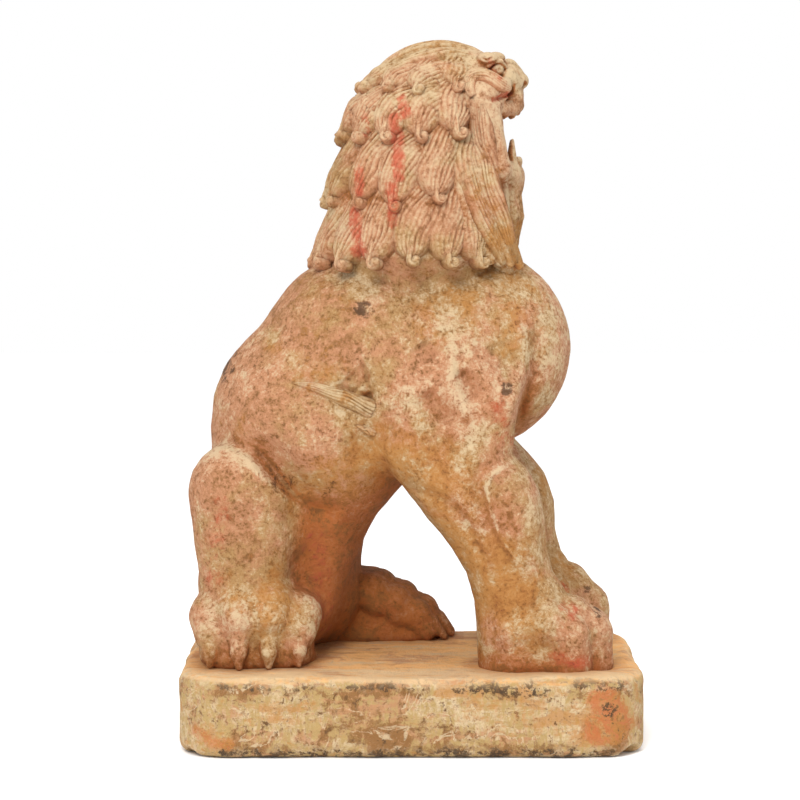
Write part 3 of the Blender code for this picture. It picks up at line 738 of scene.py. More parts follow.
def mane_core():
    """Neck and skull under the locks."""
    height, middle, length, width = MANE_OUTLINE.T
    low = (middle.min() - length.max(), -width.max(), 0.36)
    high = (middle.max() + length.max(), width.max(), 0.64)

    def distance(x, y, z):
        tuck = MANE_RELIEF + 0.9 * np.maximum(0.0, 0.415 - z)
        m, a, b = (np.interp(z, height, row) for row in (middle, length, width))
        near = np.sqrt(((x - m) / (a - tuck)) ** 2 + (y / (b - tuck)) ** 2)
        gap = (near - 1.0) * np.minimum(a, b) * 0.75
        return np.maximum(gap, np.maximum(z - 0.620, 0.37 - z))

    return low, high, distance


# How deep the figure stands in the plinth
FOOTING = 0.0025
# Low and high corners of the clay
FIGURE_BOX = mm((-245, -150, -6), (235, 150, 645))
FACE_BOX = mm((0, -92, 392), (136, 92, 646))
# Clay that later steps lay hair on
CLAY = {}


class LION_OT_figure(bpy.types.Operator):
    """Carve the torso, the legs, the paws and the tail as one skin."""

    bl_idname = "lion.figure"
    bl_label = "Figure"

    def execute(self, context):
        sizes = context.scene.lion_sizes
        clay = Clay(*FIGURE_BOX, sizes.figure_step)
        for a, b, flat in zip(SPINE, SPINE[1:], SPINE_FLATNESS):
            clay.apply(bone(a, b, flat), blend=0.012)
        clay.carve(RUMP)
        for side in SIDES:
            carve_foreleg(clay, side)
        carve_right_hind_leg(clay)
        carve_left_hind_leg(clay)
        carve_tail(clay)
        clay.apply(mane_core(), blend=0.010)
        for side, width, depth, *line in CARVED_LINES:
            clay.score(line_of(line), width * MM, depth * MM, side)
        clay.score(FOREARM, width=0.027, depth=-0.0042, side=-1, end_width=0.014, steepness=6)
        ground = (clay.low, clay.low + (0.5, 0.3, 0.006), lambda x, y, z: z + FOOTING)
        clay.apply(ground, blend=0.0005, joined=False)
        CLAY["figure"] = clay
        points, quads = clay.cast()
        points = roughen(points, quads, sizes.lump_height, seed=3)
        points[:, 2] = np.maximum(points[:, 2], -FOOTING)
        masks = pigment_masks(points)
        masks["hollow"] = hollows(points, quads, 12)
        # Painted shade: occlusion below the chest, with earth and painted shade at the feet and between
        # the legs
        below_chest = 1.0 - smooth_step(points[:, 2], 0.28, 0.36)
        masks["recess"] = stains_and_shade(points) + recess(clay, points, quads) * below_chest
        nodes = ["torso", "tail"]
        for side in SIDE_NAMES:
            nodes += [side + part for part in ("_foreleg", "_fore_paw", "_hind_leg", "_hind_paw")]
        make_piece("carved_figure", points, quads, masks, stone_finish("figure_stone"), nodes)
        return {"FINISHED"}


SKULL = (("egg", 6, 56, 0, 586, 40, 58, 42), ("egg", 6, 90, 0, 582, 26, 26, 22))
# Cheek, jowl and lower jaw of one side
JAW = (
    ("egg", 8, 68, 46, 576, 26, 20, 26),
    ("chain", 8, 70, 56, 574, 18, 75.5, 56, 548, 16, 79, 55, 528, 15, 87, 52, 504, 15),
    ("chain", 5, 64, 42, 508, 15, 86, 34, 503, 14, 99, 18, 498, 13.5, 103, 0, 497, 13.5),
)
# Chin, bridge and back of the nose, upper lip, open mouth and tip of the nose
MUZZLE = (
    ("egg", 6, 98, 0, 486, 18.5, 26, 18),
    ("egg", 4, 100, 0, 602, 12.5, 22, 15),
    ("egg", 3, 107, 0, 600, 9.5, 18.5, 9.5),
    ("egg", 4, 103, 0, 576, 13, 25, 16.5),
    ("hole", 4, 97, 0, 534.5, 46, 41, 25.5),
    ("egg", 2, 112.5, 0, 594, 9.2, 17, 9),
)
# Wing of the nose, pads, nostril and lip, then brow, eye in its socket, lid and pupil, of one side
SNOUT = (
    ("egg", 3, 107.5, 16.5, 591.5, 8, 9.5, 7.8),
    ("egg", 3, 104, 16.5, 576.5, 11.5, 15, 12),
    ("hole", 1.5, 117, 13, 589.5, 6, 5, 3.6),
    ("egg", 5, 83, 44, 585, 21.5, 15, 14.5),
    ("egg", 6, 98.5, 24, 593, 11.5, 15, 14),
    ("chain", 3, 78, 51, 565, 8, 91, 40, 565, 7.5, 103, 24, 566, 7.8, 109, 5, 569, 7.8),
    ("egg", 5, 77.5, 40, 615, 11, 12, 6.6),
    ("egg", 3, 86, 25, 616.5, 10, 15, 6),
    ("hole", 1.5, 87.5, 46, 603, 9.2, 15, 9.8),
    ("egg", 0.8, 86.5, 35, 604, 7.6, 7.6, 7.6),
    ("chain", 1.2, 78, 44.5, 607, 2, 83.5, 44, 612.5, 2.4, 91, 40, 612.5, 2.4, 96, 33, 607, 2),
    ("hole", 1, 89.5, 42.5, 604, 2.2, 2.2, 2.2),
)
LIP_CLEFT = (("hole", 2, 118, 0, 576, 5, 2, 10),)
TONGUE = (("egg", 2, 86, 0, 514, 21, 19, 7.5),)
FANGS = (
    ("chain", 1.5, 105, 19.5, 566, 5.6, 104, 19.5, 558, 3),
    ("chain", 1.5, 104, 18, 506, 6, 104, 19, 533, 1.4),
)
FRONT_TOOTH = (3.4, 3.3, 5.6)
# Crease round the whisker pad, then folds of the cheek and the brow: width, depth, and x and z
FACE_LINES = (
    (2.4, 3.6, 74, 574.5, 83.4, 572.4, 93.2, 576.5, 100.8, 580.8, 103.5, 588.4, 104.5, 594.9),
    (3.4, 3.4, 62, 572, 66, 545, 72, 515, 80, 492),
    (4, -1.6, 72, 566, 76, 545, 80, 520),
    (3, 1.4, 83, 558, 86, 535, 92, 512),
    (1.3, 2, 70.5, 616, 76, 613, 85, 616.5),
)


def carve_face(clay):
    """Brow, eyes, nose, muzzle and the open mouth with its teeth."""
    clay.carve(SKULL)
    for side in SIDES:
        clay.carve(JAW, side)
    clay.carve(MUZZLE)
    for side in SIDES:
        clay.carve(SNOUT, side)
    clay.carve(LIP_CLEFT)
    for width, depth, *line in FACE_LINES:
        clay.score(line_of(line), width * MM, depth * MM)
    clay.carve(TONGUE)
    for side in SIDES:
        clay.carve(FANGS, side)
        for step in range(3):
            x, y = 96 - 10 * step, 29 + 4.5 * step
            upper = ("egg", 1, x, y, 561, 4.6, 4.2, 5.8)
            lower = ("egg", 1, x - 3, y, 516, 4.6, 4.2, 6.2)
            clay.carve((upper, lower), side)
    for place in range(-2, 3):
        x, y = 110 - 0.6 * place**2, 6 * place
        clay.carve((("egg", 1, x, y, 564, *FRONT_TOOTH), ("egg", 1, x + 2, y, 511, *FRONT_TOOTH)))


# Foremost strand beside the beard, and how much each next strand differs from it
SIDE_STRAND = np.array((77, 69, 500, 6.2, 89, 65, 462, 6.6, 101, 57, 430, 6.2, 110, 49, 406, 5))
SIDE_STRAND_STEP = np.array((-11.5, 2.6, 0, 0, -11.5, 3.6, 0, 0, -11, 4.6, 0, 0, -10, 5.4, 2, 0))
SIDE_HAIR = (("chain", 3, 62, 52, 512, 18, 76, 47, 466, 18.5, 88, 41, 432, 16, 96, 36, 404, 13),)


def carve_beard(clay):
    """Straight strands under the chin, and the hair beside them."""
    for place in range(-4, 5):
        x, y = -0.9 * place * place, 7.2 * place
        wave = 2 * (place % 2)
        upper = (x + 108, y, 486, 6.2, x + 109.5 + wave, 0.95 * y, 455, 6)
        lower = (x + 106.5, 0.86 * y, 428, 5.2, x + 103.5, 0.70 * y, 404, 4)
        clay.carve((("chain", 1.2, *upper, *lower),))
    for side in SIDES:
        for lane in range(4):
            clay.carve((("chain", 1.2, *(SIDE_STRAND + lane * SIDE_STRAND_STEP)),), side)
        clay.carve(SIDE_HAIR, side)


class LION_OT_face(bpy.types.Operator):
    """Carve the roaring face, its teeth, the beard and the hair beside it."""

    bl_idname = "lion.face"
    bl_label = "Face"

    def execute(self, context):
        sizes = context.scene.lion_sizes
        clay = Clay(*FACE_BOX, sizes.face_step)
        clay.apply(mane_core(), blend=0.004)
        carve_face(clay)
        carve_beard(clay)
        CLAY["face"] = clay
        points, quads = clay.cast()
        points = roughen(points, quads, 0.35 * sizes.lump_height, seed=11, pits=0.6)
        masks = pigment_masks(points)
        masks["hollow"] = hollows(points, quads, 12)
        # Painted shade from the occlusion of the face
        masks["recess"] = recess(clay, points, quads)
        nodes = ["face", "lower_jaw", "tongue", "beard"]
        for side in SIDE_NAMES:
            nodes += [side + part for part in ("_eye", "_upper_fang", "_lower_fang", "_cheek_locks")]
        finish = stone_finish("face_stone", rubbed=0.54, blotch=0.7)
        make_piece("carved_face", points, quads, masks, finish, nodes)
        return {"FINISHED"}


def mane_point(turn, height, side):
    """Point of the mane's outline at an angle from the face, on one side."""
    middle, length, width = (np.interp(height, MANE_OUTLINE[:, 0], MANE_OUTLINE[:, i]) for i in (1, 2, 3))
    return np.stack((middle + length * np.cos(turn), side * width * np.sin(turn), height), axis=-1)


def mane_normal(turn, height, side):
    """Outward direction of the mane's outline."""
    along = mane_point(turn + 0.02, height, side) - mane_point(turn - 0.02, height, side)
    up = mane_point(turn, height + 0.002, side) - mane_point(turn, height - 0.002, side)
    return unit(np.cross(along, up)) * side


class Ribbons:
    """Closed strips with carved strands, gathered into one mesh."""

    def __init__(self, across=49):
        self.across = np.linspace(-1.0, 1.0, across)
        self.points = []
        self.quads = []
        self.hollow = []
        self.recess = []
        self.total = 0

    def add_rings(self, rings, hollow, recess):
        """Join rings of points into a closed skin."""
        rows, count = rings.shape[:2]
        index = np.arange(rows * count).reshape(rows, count) + self.total
        around = np.roll(index, -1, axis=1)
        first = np.arange(count // 2 - 1)
        cap = np.stack((first, first + 1, count - 2 - first, count - 1 - first), axis=1)
        walls = np.stack((index[:-1], around[:-1], around[1:], index[1:]), axis=-1).reshape(-1, 4)
        self.points.append(rings.reshape(-1, 3))
        self.quads += [walls, index[0][cap][:, ::-1], index[-1][cap]]
        self.hollow.append(hollow.ravel())
        self.recess.append(recess.ravel())
        self.total += rows * count

    def add(self, centers, sides, normals, halves, domes, strands, groove, sunk, drift=0.0, hidden=0.0):
        """Add a strip along centers, with the half-width and the swelling at each."""
        v = self.across[None, :, None]
        edge = np.abs(v)
        line = np.linspace(0.0, 1.0, len(centers))[:, None, None]
        phase = 0.7 * len(self.points)
        sway = 0.5 * np.sin(6.0 * line + phase) + 0.2 * np.sin(15.0 * line + 2.0 * (v + phase))
        ridge = np.abs(np.sin(math.pi * (strands * (v + 1.0) / 2.0 + drift * line + sway))) ** 0.7
        depth = np.minimum(groove, 0.9 * halves / strands)[:, None, None]
        depth = depth * (1.0 + 0.4 * np.sin(9.0 * line + 5.0 * v + 3.0 * phase)) * (1.0 - ridge)
        lift = domes[:, None, None] * (1.0 - edge**2.4) - sunk * edge**7 - depth * (1.0 - edge**4)
        top = centers[:, None] + sides[:, None] * halves[:, None, None] * v + normals[:, None] * lift
        bottom = (centers - normals * 1.15 * sunk)[:, None]
        # Soiling and painted shade in the grooves, along the edges and on the underside of the strip
        dirt_and_shade = (depth * 0.9 + 0.0016 * edge**6 - 0.0006)[..., 0]
        dirt_and_shade = np.pad(dirt_and_shade, ((0, 0), (0, 1)), constant_values=0.002)
        # Painted shade at the root that the lock above hides, along the edges and on the underside
        shade = (hidden * (1.0 - smooth_step(line, 0.05, 0.60)) + 0.30 * edge**5)[..., 0]
        shade = np.pad(shade, ((0, 0), (0, 1)), constant_values=1.0)
        self.add_rings(np.concatenate((top, bottom), axis=1), dirt_and_shade, shade)

    def add_knob(self, center, up, side, radius):
        """Add a round knob."""
        turn = np.linspace(0.0, 2.0 * math.pi, 12, endpoint=False)[:, None]
        ring = np.cos(turn) * side + np.sin(turn) * np.cross(up, side)
        slopes = np.radians((-80, -40, 0, 30, 60, 84))
        rings = [center + radius * (math.cos(slope) * ring + math.sin(slope) * up) for slope in slopes]
        shape = (len(slopes), len(turn))
        self.add_rings(np.array(rings), np.full(shape, -0.0004), np.zeros(shape))

    def make(self, name, lump_height, seed, finish, node):
        """Make a piece of all strips, which stands for one node of the mane."""
        rows = (self.points, self.quads, self.hollow, self.recess)
        points, quads, hollow, recess = (np.concatenate(row) for row in rows)
        points = roughen(points, quads, lump_height, seed)
        masks = {**pigment_masks(points), "hollow": hollow, "recess": recess}
        make_piece(name, points, quads, masks, finish, [node])


def lock_line(drop, lean, curl):
    """Line of a lock on the unrolled mane: forward and downward places, and where it curls."""
    body, turns = 36, 34
    share = np.linspace(0.0, 1.0, body)
    heading = -lean * (1.0 - smooth_step(share, 0.05, 0.95))
    steps = np.full(body, drop / np.cos(heading).sum())
    angle = np.linspace(0.0, 6.0, turns)
    radius = curl * (1.0 - 0.72 * (angle / angle[-1]) ** 0.8)
    heading = np.concatenate((heading, angle))
    steps = np.concatenate((steps, radius * (angle[1] - angle[0])))
    forward = np.cumsum(np.sin(heading) * steps)
    down = np.cumsum(np.cos(heading) * steps)
    return forward - forward[:body].mean(), down, body


# Smallest and largest share by which locks differ from one another
UNEVENNESS = (0.88, 1.12)


def lay_lock(ribbons, sizes, skin, drop, lean, half_width, strands, drift, chance):
    """Lay one lock on a skin: a blunt body of strands, and a strand that ends in a snail curl."""
    curl = min(sizes.curl_radius, 0.36 * half_width) * chance.uniform(*UNEVENNESS)
    forward, down, body = lock_line(drop - 0.8 * curl, lean * chance.uniform(*UNEVENNESS), curl)
    centers, normals = skin(forward, down)
    dome = sizes.lock_dome * half_width / sizes.lock_half_width
    line = np.arange(len(forward)) / (body - 1)
    settle = np.interp(line, (0.0, 0.6, 1.0), (-1.45, -0.85, -0.35)) * dome
    centers = centers + normals * settle[:, None]
    sides = unit(np.cross(normals, unit(np.gradient(centers, axis=0))))

    share = line[:body]
    ending = np.sqrt(1.0 - np.clip((share - 0.62) / 0.385, 0.0, 1.0) ** 2)
    halves = half_width * ending * np.interp(share, (0.0, 0.2, 0.5), (0.55, 0.90, 1.0))
    domes = dome * ending**0.6 * np.interp(share, (0.0, 0.3, 0.7), (0.60, 0.95, 1.10))
    body_line = (centers[:body], sides[:body], normals[:body])
    # The root of each body strip gets painted shade where the tier above hangs over it
    ribbons.add(*body_line, halves, domes, strands, sizes.groove_depth, 1.3 * dome, drift, 0.6)

    first = int(0.60 * body)
    tail = np.clip((np.arange(first, len(forward)) - body) / (len(forward) - 1 - body), 0.0, 1.0)
    raised = centers[first:] + normals[first:] * (0.55 * dome + 0.0016 * tail)[:, None]
    thin = np.interp(line[first:], (line[first], 0.85, 1.0), (0.06, 0.15, 0.17)) * half_width
    thin = thin + (0.0024 - thin) * tail
    domes = np.full(len(tail), 0.42 * dome)
    ribbons.add(raised, sides[first:], normals[first:], thin, domes, 2, 0.5 * sizes.groove_depth, dome)
    eye = raised[-26:].mean(axis=0) + normals[-1] * 0.06 * dome
    ribbons.add_knob(eye, normals[-1], sides[-1], 0.80 * curl)


def add_mane_lock(ribbons, sizes, side, angle, root, tip, lean, half_width, seed):
    """Lay one lock on the mane."""
    chance = np.random.default_rng(seed)
    reach = 0.084 if tip > 0.5 else 0.098
    start = math.radians(angle + chance.uniform(-2.0, 2.0))
    top = root + chance.uniform(-0.004, 0.004)

    def skin(forward, down):
        turn, height = start - forward / reach, top - down
        return mane_point(turn, height, side), mane_normal(turn, height, side)

    drop = (root - tip) * chance.uniform(0.96, 1.05)
    strands = sizes.strand_count + chance.integers(-1, 2)
    lay_lock(ribbons, sizes, skin, drop, lean, half_width, strands, -2.2 * side, chance)


# Tiers of the mane from the top: root and tip height in metres, lean, and the degrees from the
# face at which the locks of one side hang
MANE_TIERS = (
    (0.622, 0.583, 1.20, (66, 96, 127, 158)),
    (0.602, 0.535, 1.10, (58, 83, 109, 136, 163)),
    (0.556, 0.470, 0.75, (50, 73, 99, 127, 155)),
    (0.496, 0.406, 0.50, (46, 67, 88, 110, 132, 155)),
)
# Lock at the back of each tier
BACK_ANGLE = 178
BACK_LEAN = 0.2
# Band of whisker hair beside the muzzle: stations of x, z and half-width
WHISKERS = mm(
    (62, 576, 4.5), (57.5, 586, 7), (59, 596, 9.2), (69, 599.5, 10.8),
    (80.5, 594, 10.8), (90.5, 587.5, 9.2), (98, 584, 4.5),
)
# Long locks beside the beard: the strands, and stations of x, z and half-width
LONG_LOCKS = (
    (
        6,
        mm(
            (46, 578, 5), (50, 545, 10.5), (55, 512, 12), (65, 476, 12),
            (79, 442, 11.5), (94, 408, 4.5),
        ),
    ),
    (
        6,
        mm(
            (61, 574, 4), (66, 545, 9), (72, 514, 10.5), (81, 480, 10.5),
            (93, 446, 9.5), (106, 409, 4),
        ),
    ),
    (
        4,
        mm(
            (71.5, 568, 3), (73.5, 550, 6.6), (76.5, 528, 7.2), (81.5, 506, 7),
            (89, 484, 3.5),
        ),
    ),
)
# Dome of the skull under the combed hair: middle in x, height of its foot, and radii
CROWN_MIDDLE, CROWN_FOOT = 0.030, 0.5615
CROWN_RADII = (0.080, 0.072, 0.072)


def add_crown(ribbons):
    """Lay the hair that is combed back over the top of the head."""
    long, wide, tall = CROWN_RADII
    for place in range(-3, 4):
        x = np.linspace(0.090, -0.030, 40)
        y = 0.0155 * place * (1.0 + 2.2 * (0.090 - x)) + 0.003 * np.sin(40.0 * x + place)
        ahead = x - CROWN_MIDDLE
        rise = tall * np.sqrt(np.maximum(1.0 - (ahead / long) ** 2 - (y / wide) ** 2, 0.02))
        normals = unit(np.stack((ahead / long**2, y / wide**2, rise / tall**2), axis=1))
        centers = np.stack((x, y, CROWN_FOOT + rise), axis=1) - normals * 0.003
        sides = unit(np.cross(normals, unit(np.gradient(centers, axis=0))))
        line = np.linspace(0.0, 1.0, len(x))
        halves = 0.0115 * np.interp(line, (0.0, 0.15, 0.7, 1.0), (0.5, 0.9, 1.0, 0.35))
        ribbons.add(centers, sides, normals, halves, np.full(len(x), 0.0052), 4, 0.0013, 0.009)


def lay_leaf(ribbons, clay, side, stations, dome, strands, lift=0.0):
    """Lay a strand-carved leaf on the flank of some clay."""
    share = np.linspace(0.0, 1.0, 44)
    knots = np.linspace(0.0, 1.0, len(stations))
    x, z, halves = (np.interp(share, knots, row) for row in stations.T)
    for _ in range(6):
        x[1:-1], z[1:-1] = ((row[:-2] + row[1:-1] + row[2:]) / 3 for row in (x, z))
    skin = clay.flank(x, z, side)
    normals = clay.slope(skin)
    for _ in range(8):
        skin[1:-1] = (skin[:-2] + skin[1:-1] + skin[2:]) / 3
        normals[1:-1] = unit(normals[:-2] + normals[1:-1] + normals[2:])
    skin = skin + normals * lift
    sides = unit(np.cross(normals, unit(np.gradient(skin, axis=0))))
    domes = dome * np.interp(share, (0.0, 0.3, 0.85, 1.0), (0.3, 1.0, 1.0, 0.3))
    ribbons.add(skin, sides, normals, halves, domes, strands, 0.0022, dome + lift)


class LION_OT_mane(bpy.types.Operator):
    """Lay the tiers of curled locks, the combed crown and the long hair beside the face."""

    bl_idname = "lion.mane"
    bl_label = "Mane"

    def execute(self, context):
        sizes = context.scene.lion_sizes
        finish = stone_finish("mane_stone", rubbed=0.30, blotch=0.55)
        for tier, (root, tip, lean, angles) in enumerate(MANE_TIERS):
            ribbons = Ribbons()
            width = sizes.lock_half_width * (0.92 if tier == 0 else 1.0)
            for side in SIDES:
                for number, angle in enumerate(angles):
                    seed = 100 * tier + 10 * number + side + 1
                    add_mane_lock(ribbons, sizes, side, angle, root, tip, lean, width, seed)
            add_mane_lock(ribbons, sizes, 1, BACK_ANGLE, root, tip, BACK_LEAN, width, 1000 + tier)
            if tier == 0:
                add_crown(ribbons)
            if tier == 1:
                for side in SIDES:
                    lay_leaf(ribbons, CLAY["face"], side, WHISKERS, dome=0.0046, strands=7, lift=0.0026)
                    for strands, line in LONG_LOCKS:
                        lay_leaf(ribbons, CLAY["face"], side, line, 0.0055, strands)
            name, node = "mane_curls_%d" % (tier + 1), "mane_tier_%d" % (tier + 1)
            ribbons.make(name, 0.55 * sizes.lump_height, 31 + tier, finish, node)
        return {"FINISHED"}


# Leaves of the tuft behind the elbow: the strands, and stations of x, z and half-width
TUFT_LEAVES = (
    (6, mm((-120, 289, 1.4), (-95, 285, 6.2), (-68, 274.5, 9.8), (-38, 261, 10.5))),
    (3, mm((-56, 247, 1.4), (-47, 243.5, 4.6), (-36, 237, 5))),
)


class LION_OT_tufts(bpy.types.Operator):
    """Lay the flame-like tufts behind the elbows."""

    bl_idname = "lion.tufts"
    bl_label = "Elbow tufts"

    def execute(self, context):
        sizes = context.scene.lion_sizes
        finish = stone_finish("tuft_stone", rubbed=0.16, blotch=0.45)
        for side, name in zip(SIDES, SIDE_NAMES):
            ribbons = Ribbons()
            for strands, leaf in TUFT_LEAVES:
                lay_leaf(ribbons, CLAY["figure"], side, leaf, 0.0060, strands)
            ribbons.make(name + "_elbow_flame", 0.3 * sizes.lump_height, 41, finish, name + "_elbow_tuft")
        return {"FINISHED"}


# Chips broken off the plinth: place as shares of its box, and radii
PLINTH_CHIPS = (
    (0.965, 0.07, 0.02, 16, 10, 8), (0.9, 0.0, 0.0, 18, 6, 7),
    (0.04, 0.08, 0.0, 12, 10, 8), (0.3, 0.0, 0.0, 30, 6, 6),
    (0.55, 0.0, 1.0, 40, 6, 5), (0.22, 0.0, 1.0, 30, 5, 5),
    (0.8, 0.0, 0.98, 22, 6, 6), (1.0, 0.5, 1.0, 7, 40, 6),
    (0.0, 0.6, 0.98, 6, 30, 7), (0.45, 1.0, 1.0, 35, 7, 6),
    (0.75, 1.0, 0.0, 30, 7, 8), (1.0, 0.8, 0.02, 8, 22, 10),
)


class LION_OT_plinth(bpy.types.Operator):
    """Carve the plinth, with its chipped edges and worn faces."""

    bl_idname = "lion.plinth"
    bl_label = "Plinth"

    def execute(self, context):
        sizes = context.scene.lion_sizes
        low, high = PLINTH_LOW - FIGURE_ORIGIN, PLINTH_HIGH - FIGURE_ORIGIN
        margin = 4 * sizes.plinth_step
        clay = Clay(low - margin, high + margin, sizes.plinth_step)
        clay.apply(block(low, high - (0.0, 0.0, 0.0004), corner=0.050, edge=0.011), blend=0.001)
        for numbers in PLINTH_CHIPS:
            share, radii = np.reshape(numbers, (2, 3))
            clay.apply(egg(low + (high - low) * share, radii * MM), blend=0.004, joined=False)
        points, quads = clay.cast()
        underside = points[:, 2] < low[2] + 0.002
        bottom = points[underside].copy()
        points = roughen(points, quads, 1.25 * sizes.lump_height, seed=23)
        points[underside] = bottom
        points[:, 2] = np.clip(points[:, 2], low[2], high[2] + 0.002)
        masks = pigment_masks(points)
        masks["hollow"] = hollows(points, quads, 14)
        # Painted shadow on the plinth round the lion's feet, from how near the figure is
        masks["recess"] = 1.0 - smooth_step(CLAY["figure"].sample(points), 0.0, 0.026)
        # Painted highlight along the rounded front edge of the top, laid in the cream mask
        front = smooth_step(-points[:, 1], 0.075, 0.130) * smooth_step(points[:, 2], -0.008, -0.002)
        masks["cream"] = np.maximum(masks["cream"], 0.8 * front)
        finish = plinth_finish("plinth_stone")
        make_piece("plinth_block", points, quads, masks, finish, ["plinth"])
        return {"FINISHED"}


class Wire:
    """Output socket whose arithmetic adds Math nodes."""

    def __init__(self, paint, socket):
        self.paint = paint
        self.socket = socket

    def math(self, operation, first, second):
        """Add one Math node."""
        return self.paint.node("ShaderNodeMath", {"operation": operation}, first, second)

    def __add__(self, other):
        return self.math("ADD", self, other)

    def __radd__(self, other):
        return self.math("ADD", other, self)

    def __sub__(self, other):
        return self.math("SUBTRACT", self, other)

    def __rsub__(self, other):
        return self.math("SUBTRACT", other, self)

    def __mul__(self, other):
        return self.math("MULTIPLY", self, other)

    def __rmul__(self, other):
        return self.math("MULTIPLY", other, self)

    def step(self, low, high):
        """Rise softly from 0 to 1 between two values."""
        settings = {"interpolation_type": "SMOOTHSTEP", "clamp": True}
        return self.paint.node("ShaderNodeMapRange", settings, self, low, high, 0.0, 1.0)

    def clip(self):
        """Keep a value between 0 and 1."""
        return self.paint.node("ShaderNodeClamp", {}, self)


class Paint:
    """Builder of one material's nodes."""

    def __init__(self, name):
        self.material = bpy.data.materials.new(name)
        self.material.use_nodes = True
        self.tree = self.material.node_tree
        self.shader = self.tree.nodes["Principled BSDF"]
        self.place = self.node("ShaderNodeNewGeometry", {}, output="Position")

    def node(self, kind, settings, *values, output=0, **named):
        """Add a node: its settings first, then the values or links of its sockets."""
        node = self.tree.nodes.new(kind)
        for key, value in settings.items():
            setattr(node, key, value)
        for index, value in enumerate(values):
            if value is not None:
                self.feed(node.inputs[index], value)
        for key, value in named.items():
            self.feed(node.inputs[key], value)
        return Wire(self, node.outputs[output])

    def feed(self, socket, value):
        """Set a socket's value, or link it."""
        if isinstance(value, Wire):
            self.tree.links.new(value.socket, socket)
        else:
            socket.default_value = value

    def noise(self, scale, detail=4.0, roughness=0.55, shift=0.0, warp=0.0, stretch=(1.0, 1.0, 1.0)):
        """Noise over the surface, about from -1 to 1."""
        settings = {"operation": "MULTIPLY_ADD"}
        moved = (shift, 1.7 * shift, -shift)
        place = self.node("ShaderNodeVectorMath", settings, self.place, stretch, moved)
        named = {"Vector": place, "Scale": scale, "Detail": detail, "Roughness": roughness}
        return (self.node("ShaderNodeTexNoise", {}, **named, Distortion=warp) - 0.5) * 8.5

    def mask(self, name):
        """Value that the mesh holds at each point."""
        return self.node("ShaderNodeAttribute", {"attribute_name": name}, output="Fac")

    def upward(self):
        """How far the surface looks up, from -1 to 1."""
        facing = self.node("ShaderNodeNewGeometry", {}, output="Normal")
        return self.node("ShaderNodeSeparateXYZ", {}, facing, output="Z")

    def mix(self, factor, low, high):
        """Mix two colours."""
        low, high = (c if isinstance(c, Wire) else (*c, 1.0) for c in (low, high))
        skipped = (None,) * 5
        return self.node("ShaderNodeMix", {"data_type": "RGBA"}, factor, *skipped, low, high, output=2)

    def coat(self, color, tint, value, low, high, share=1.0):
        """Lay a share of a tint over a colour where a value rises from low to high."""
        return self.mix(value.step(low, high) * share, color, tint)

    def finish(self, color, roughness, height, strength):
        """Link the colour, the roughness and a bump to the shader."""
        bump = {"Strength": strength, "Distance": 0.004, "Height": height}
        self.feed(self.shader.inputs["Base Color"], color)
        self.feed(self.shader.inputs["Roughness"], roughness)
        self.feed(self.shader.inputs["Normal"], self.node("ShaderNodeBump", {}, output="Normal", **bump))
        self.shader.inputs["Specular IOR Level"].default_value = 0.25
        return self.material


# Noises of the stone, from broad clouds to dust: scale, detail, roughness, shift, warp
STONE_NOISES = (
    (9.0, 6.0, 0.62),
    (30.0, 8.0, 0.70, 3.1, 0.25),
    (110.0, 8.0, 0.76, 5.3, 0.25),
    (330.0, 5.0, 0.72, 7.9),
)


def stone_finish(name, rubbed=0.0, blotch=1.0):
    """Weathered stone with the remains of several pigments, painted light on up-facing surfaces and
    painted shade in the hollows, in recesses and on down-facing surfaces.
    """
    colors = bpy.context.scene.lion_colors
    paint = Paint(name)
    broad, patch, fleck, dust = (paint.noise(*row) for row in STONE_NOISES)
    hollow, recess = paint.mask("hollow"), paint.mask("recess")
    upward = paint.upward()
    breakup = patch * 0.45 + fleck * 0.55

    color = paint.mix((broad * 1.2 + patch * 0.7).step(-0.8, 0.9), colors.tan, colors.salmon)
    mottle = (patch * 0.35 + fleck * 0.55 + dust * 0.35 - broad * 0.15) * blotch
    mottle = mottle + paint.mask("patina") * 0.50 - paint.mask("cream") * 0.50
    color = paint.coat(color, colors.patina, mottle, -0.05, 1.05, 0.82)
    # Painted light: cream on up-facing surfaces, together with cream worn onto ridges and where the
    # patina is thin
    pale = upward * 0.30 - hollow * 420.0 - mottle + rubbed
    color = paint.coat(color, colors.cream, pale, 0.00, 1.20, 0.76)
    ochre = paint.mask("ochre") * 0.9 + breakup * 0.7 - broad * 0.6
    color = paint.coat(color, colors.ochre, ochre, 0.25, 1.20, 0.72)
    # Painted shade: orange-brown in occluded recesses and on down-facing surfaces
    shade = (recess * 1.3 - upward * 0.25 + breakup * 0.30).step(0.10, 1.05)
    color = paint.mix(shade * 0.84, color, colors.amber_earth_and_shade)
    # Brown patina mottled through the painted shade
    earth = (fleck * 0.9 + patch * 0.7 + dust * 0.4).step(-0.20, 0.80)
    color = paint.mix(shade * earth * 0.66, color, colors.patina)
    color = paint.coat(color, colors.vermilion, paint.mask("vermilion") + breakup * 0.5, 0.30, 1.10, 0.82)
    color = paint.coat(color, colors.soot, paint.mask("soot") + breakup * 0.7, 0.55, 1.05, 0.75)
    # Soiling and painted shade in the hollows and carved grooves
    color = paint.coat(color, colors.grime_and_shade, hollow * 560.0 + fleck * 0.25, 0.05, 1.05, 0.72)
    pits = (dust * 0.75 + fleck * 0.45).step(0.55, 1.00)
    color = paint.mix(pits * 0.45 * blotch, color, colors.grime_and_shade)
    height = patch * 0.20 + fleck * 0.16 + dust * 0.08 - pits * 0.25
    return paint.finish(color, 0.90 - 0.05 * patch, height, 0.9)


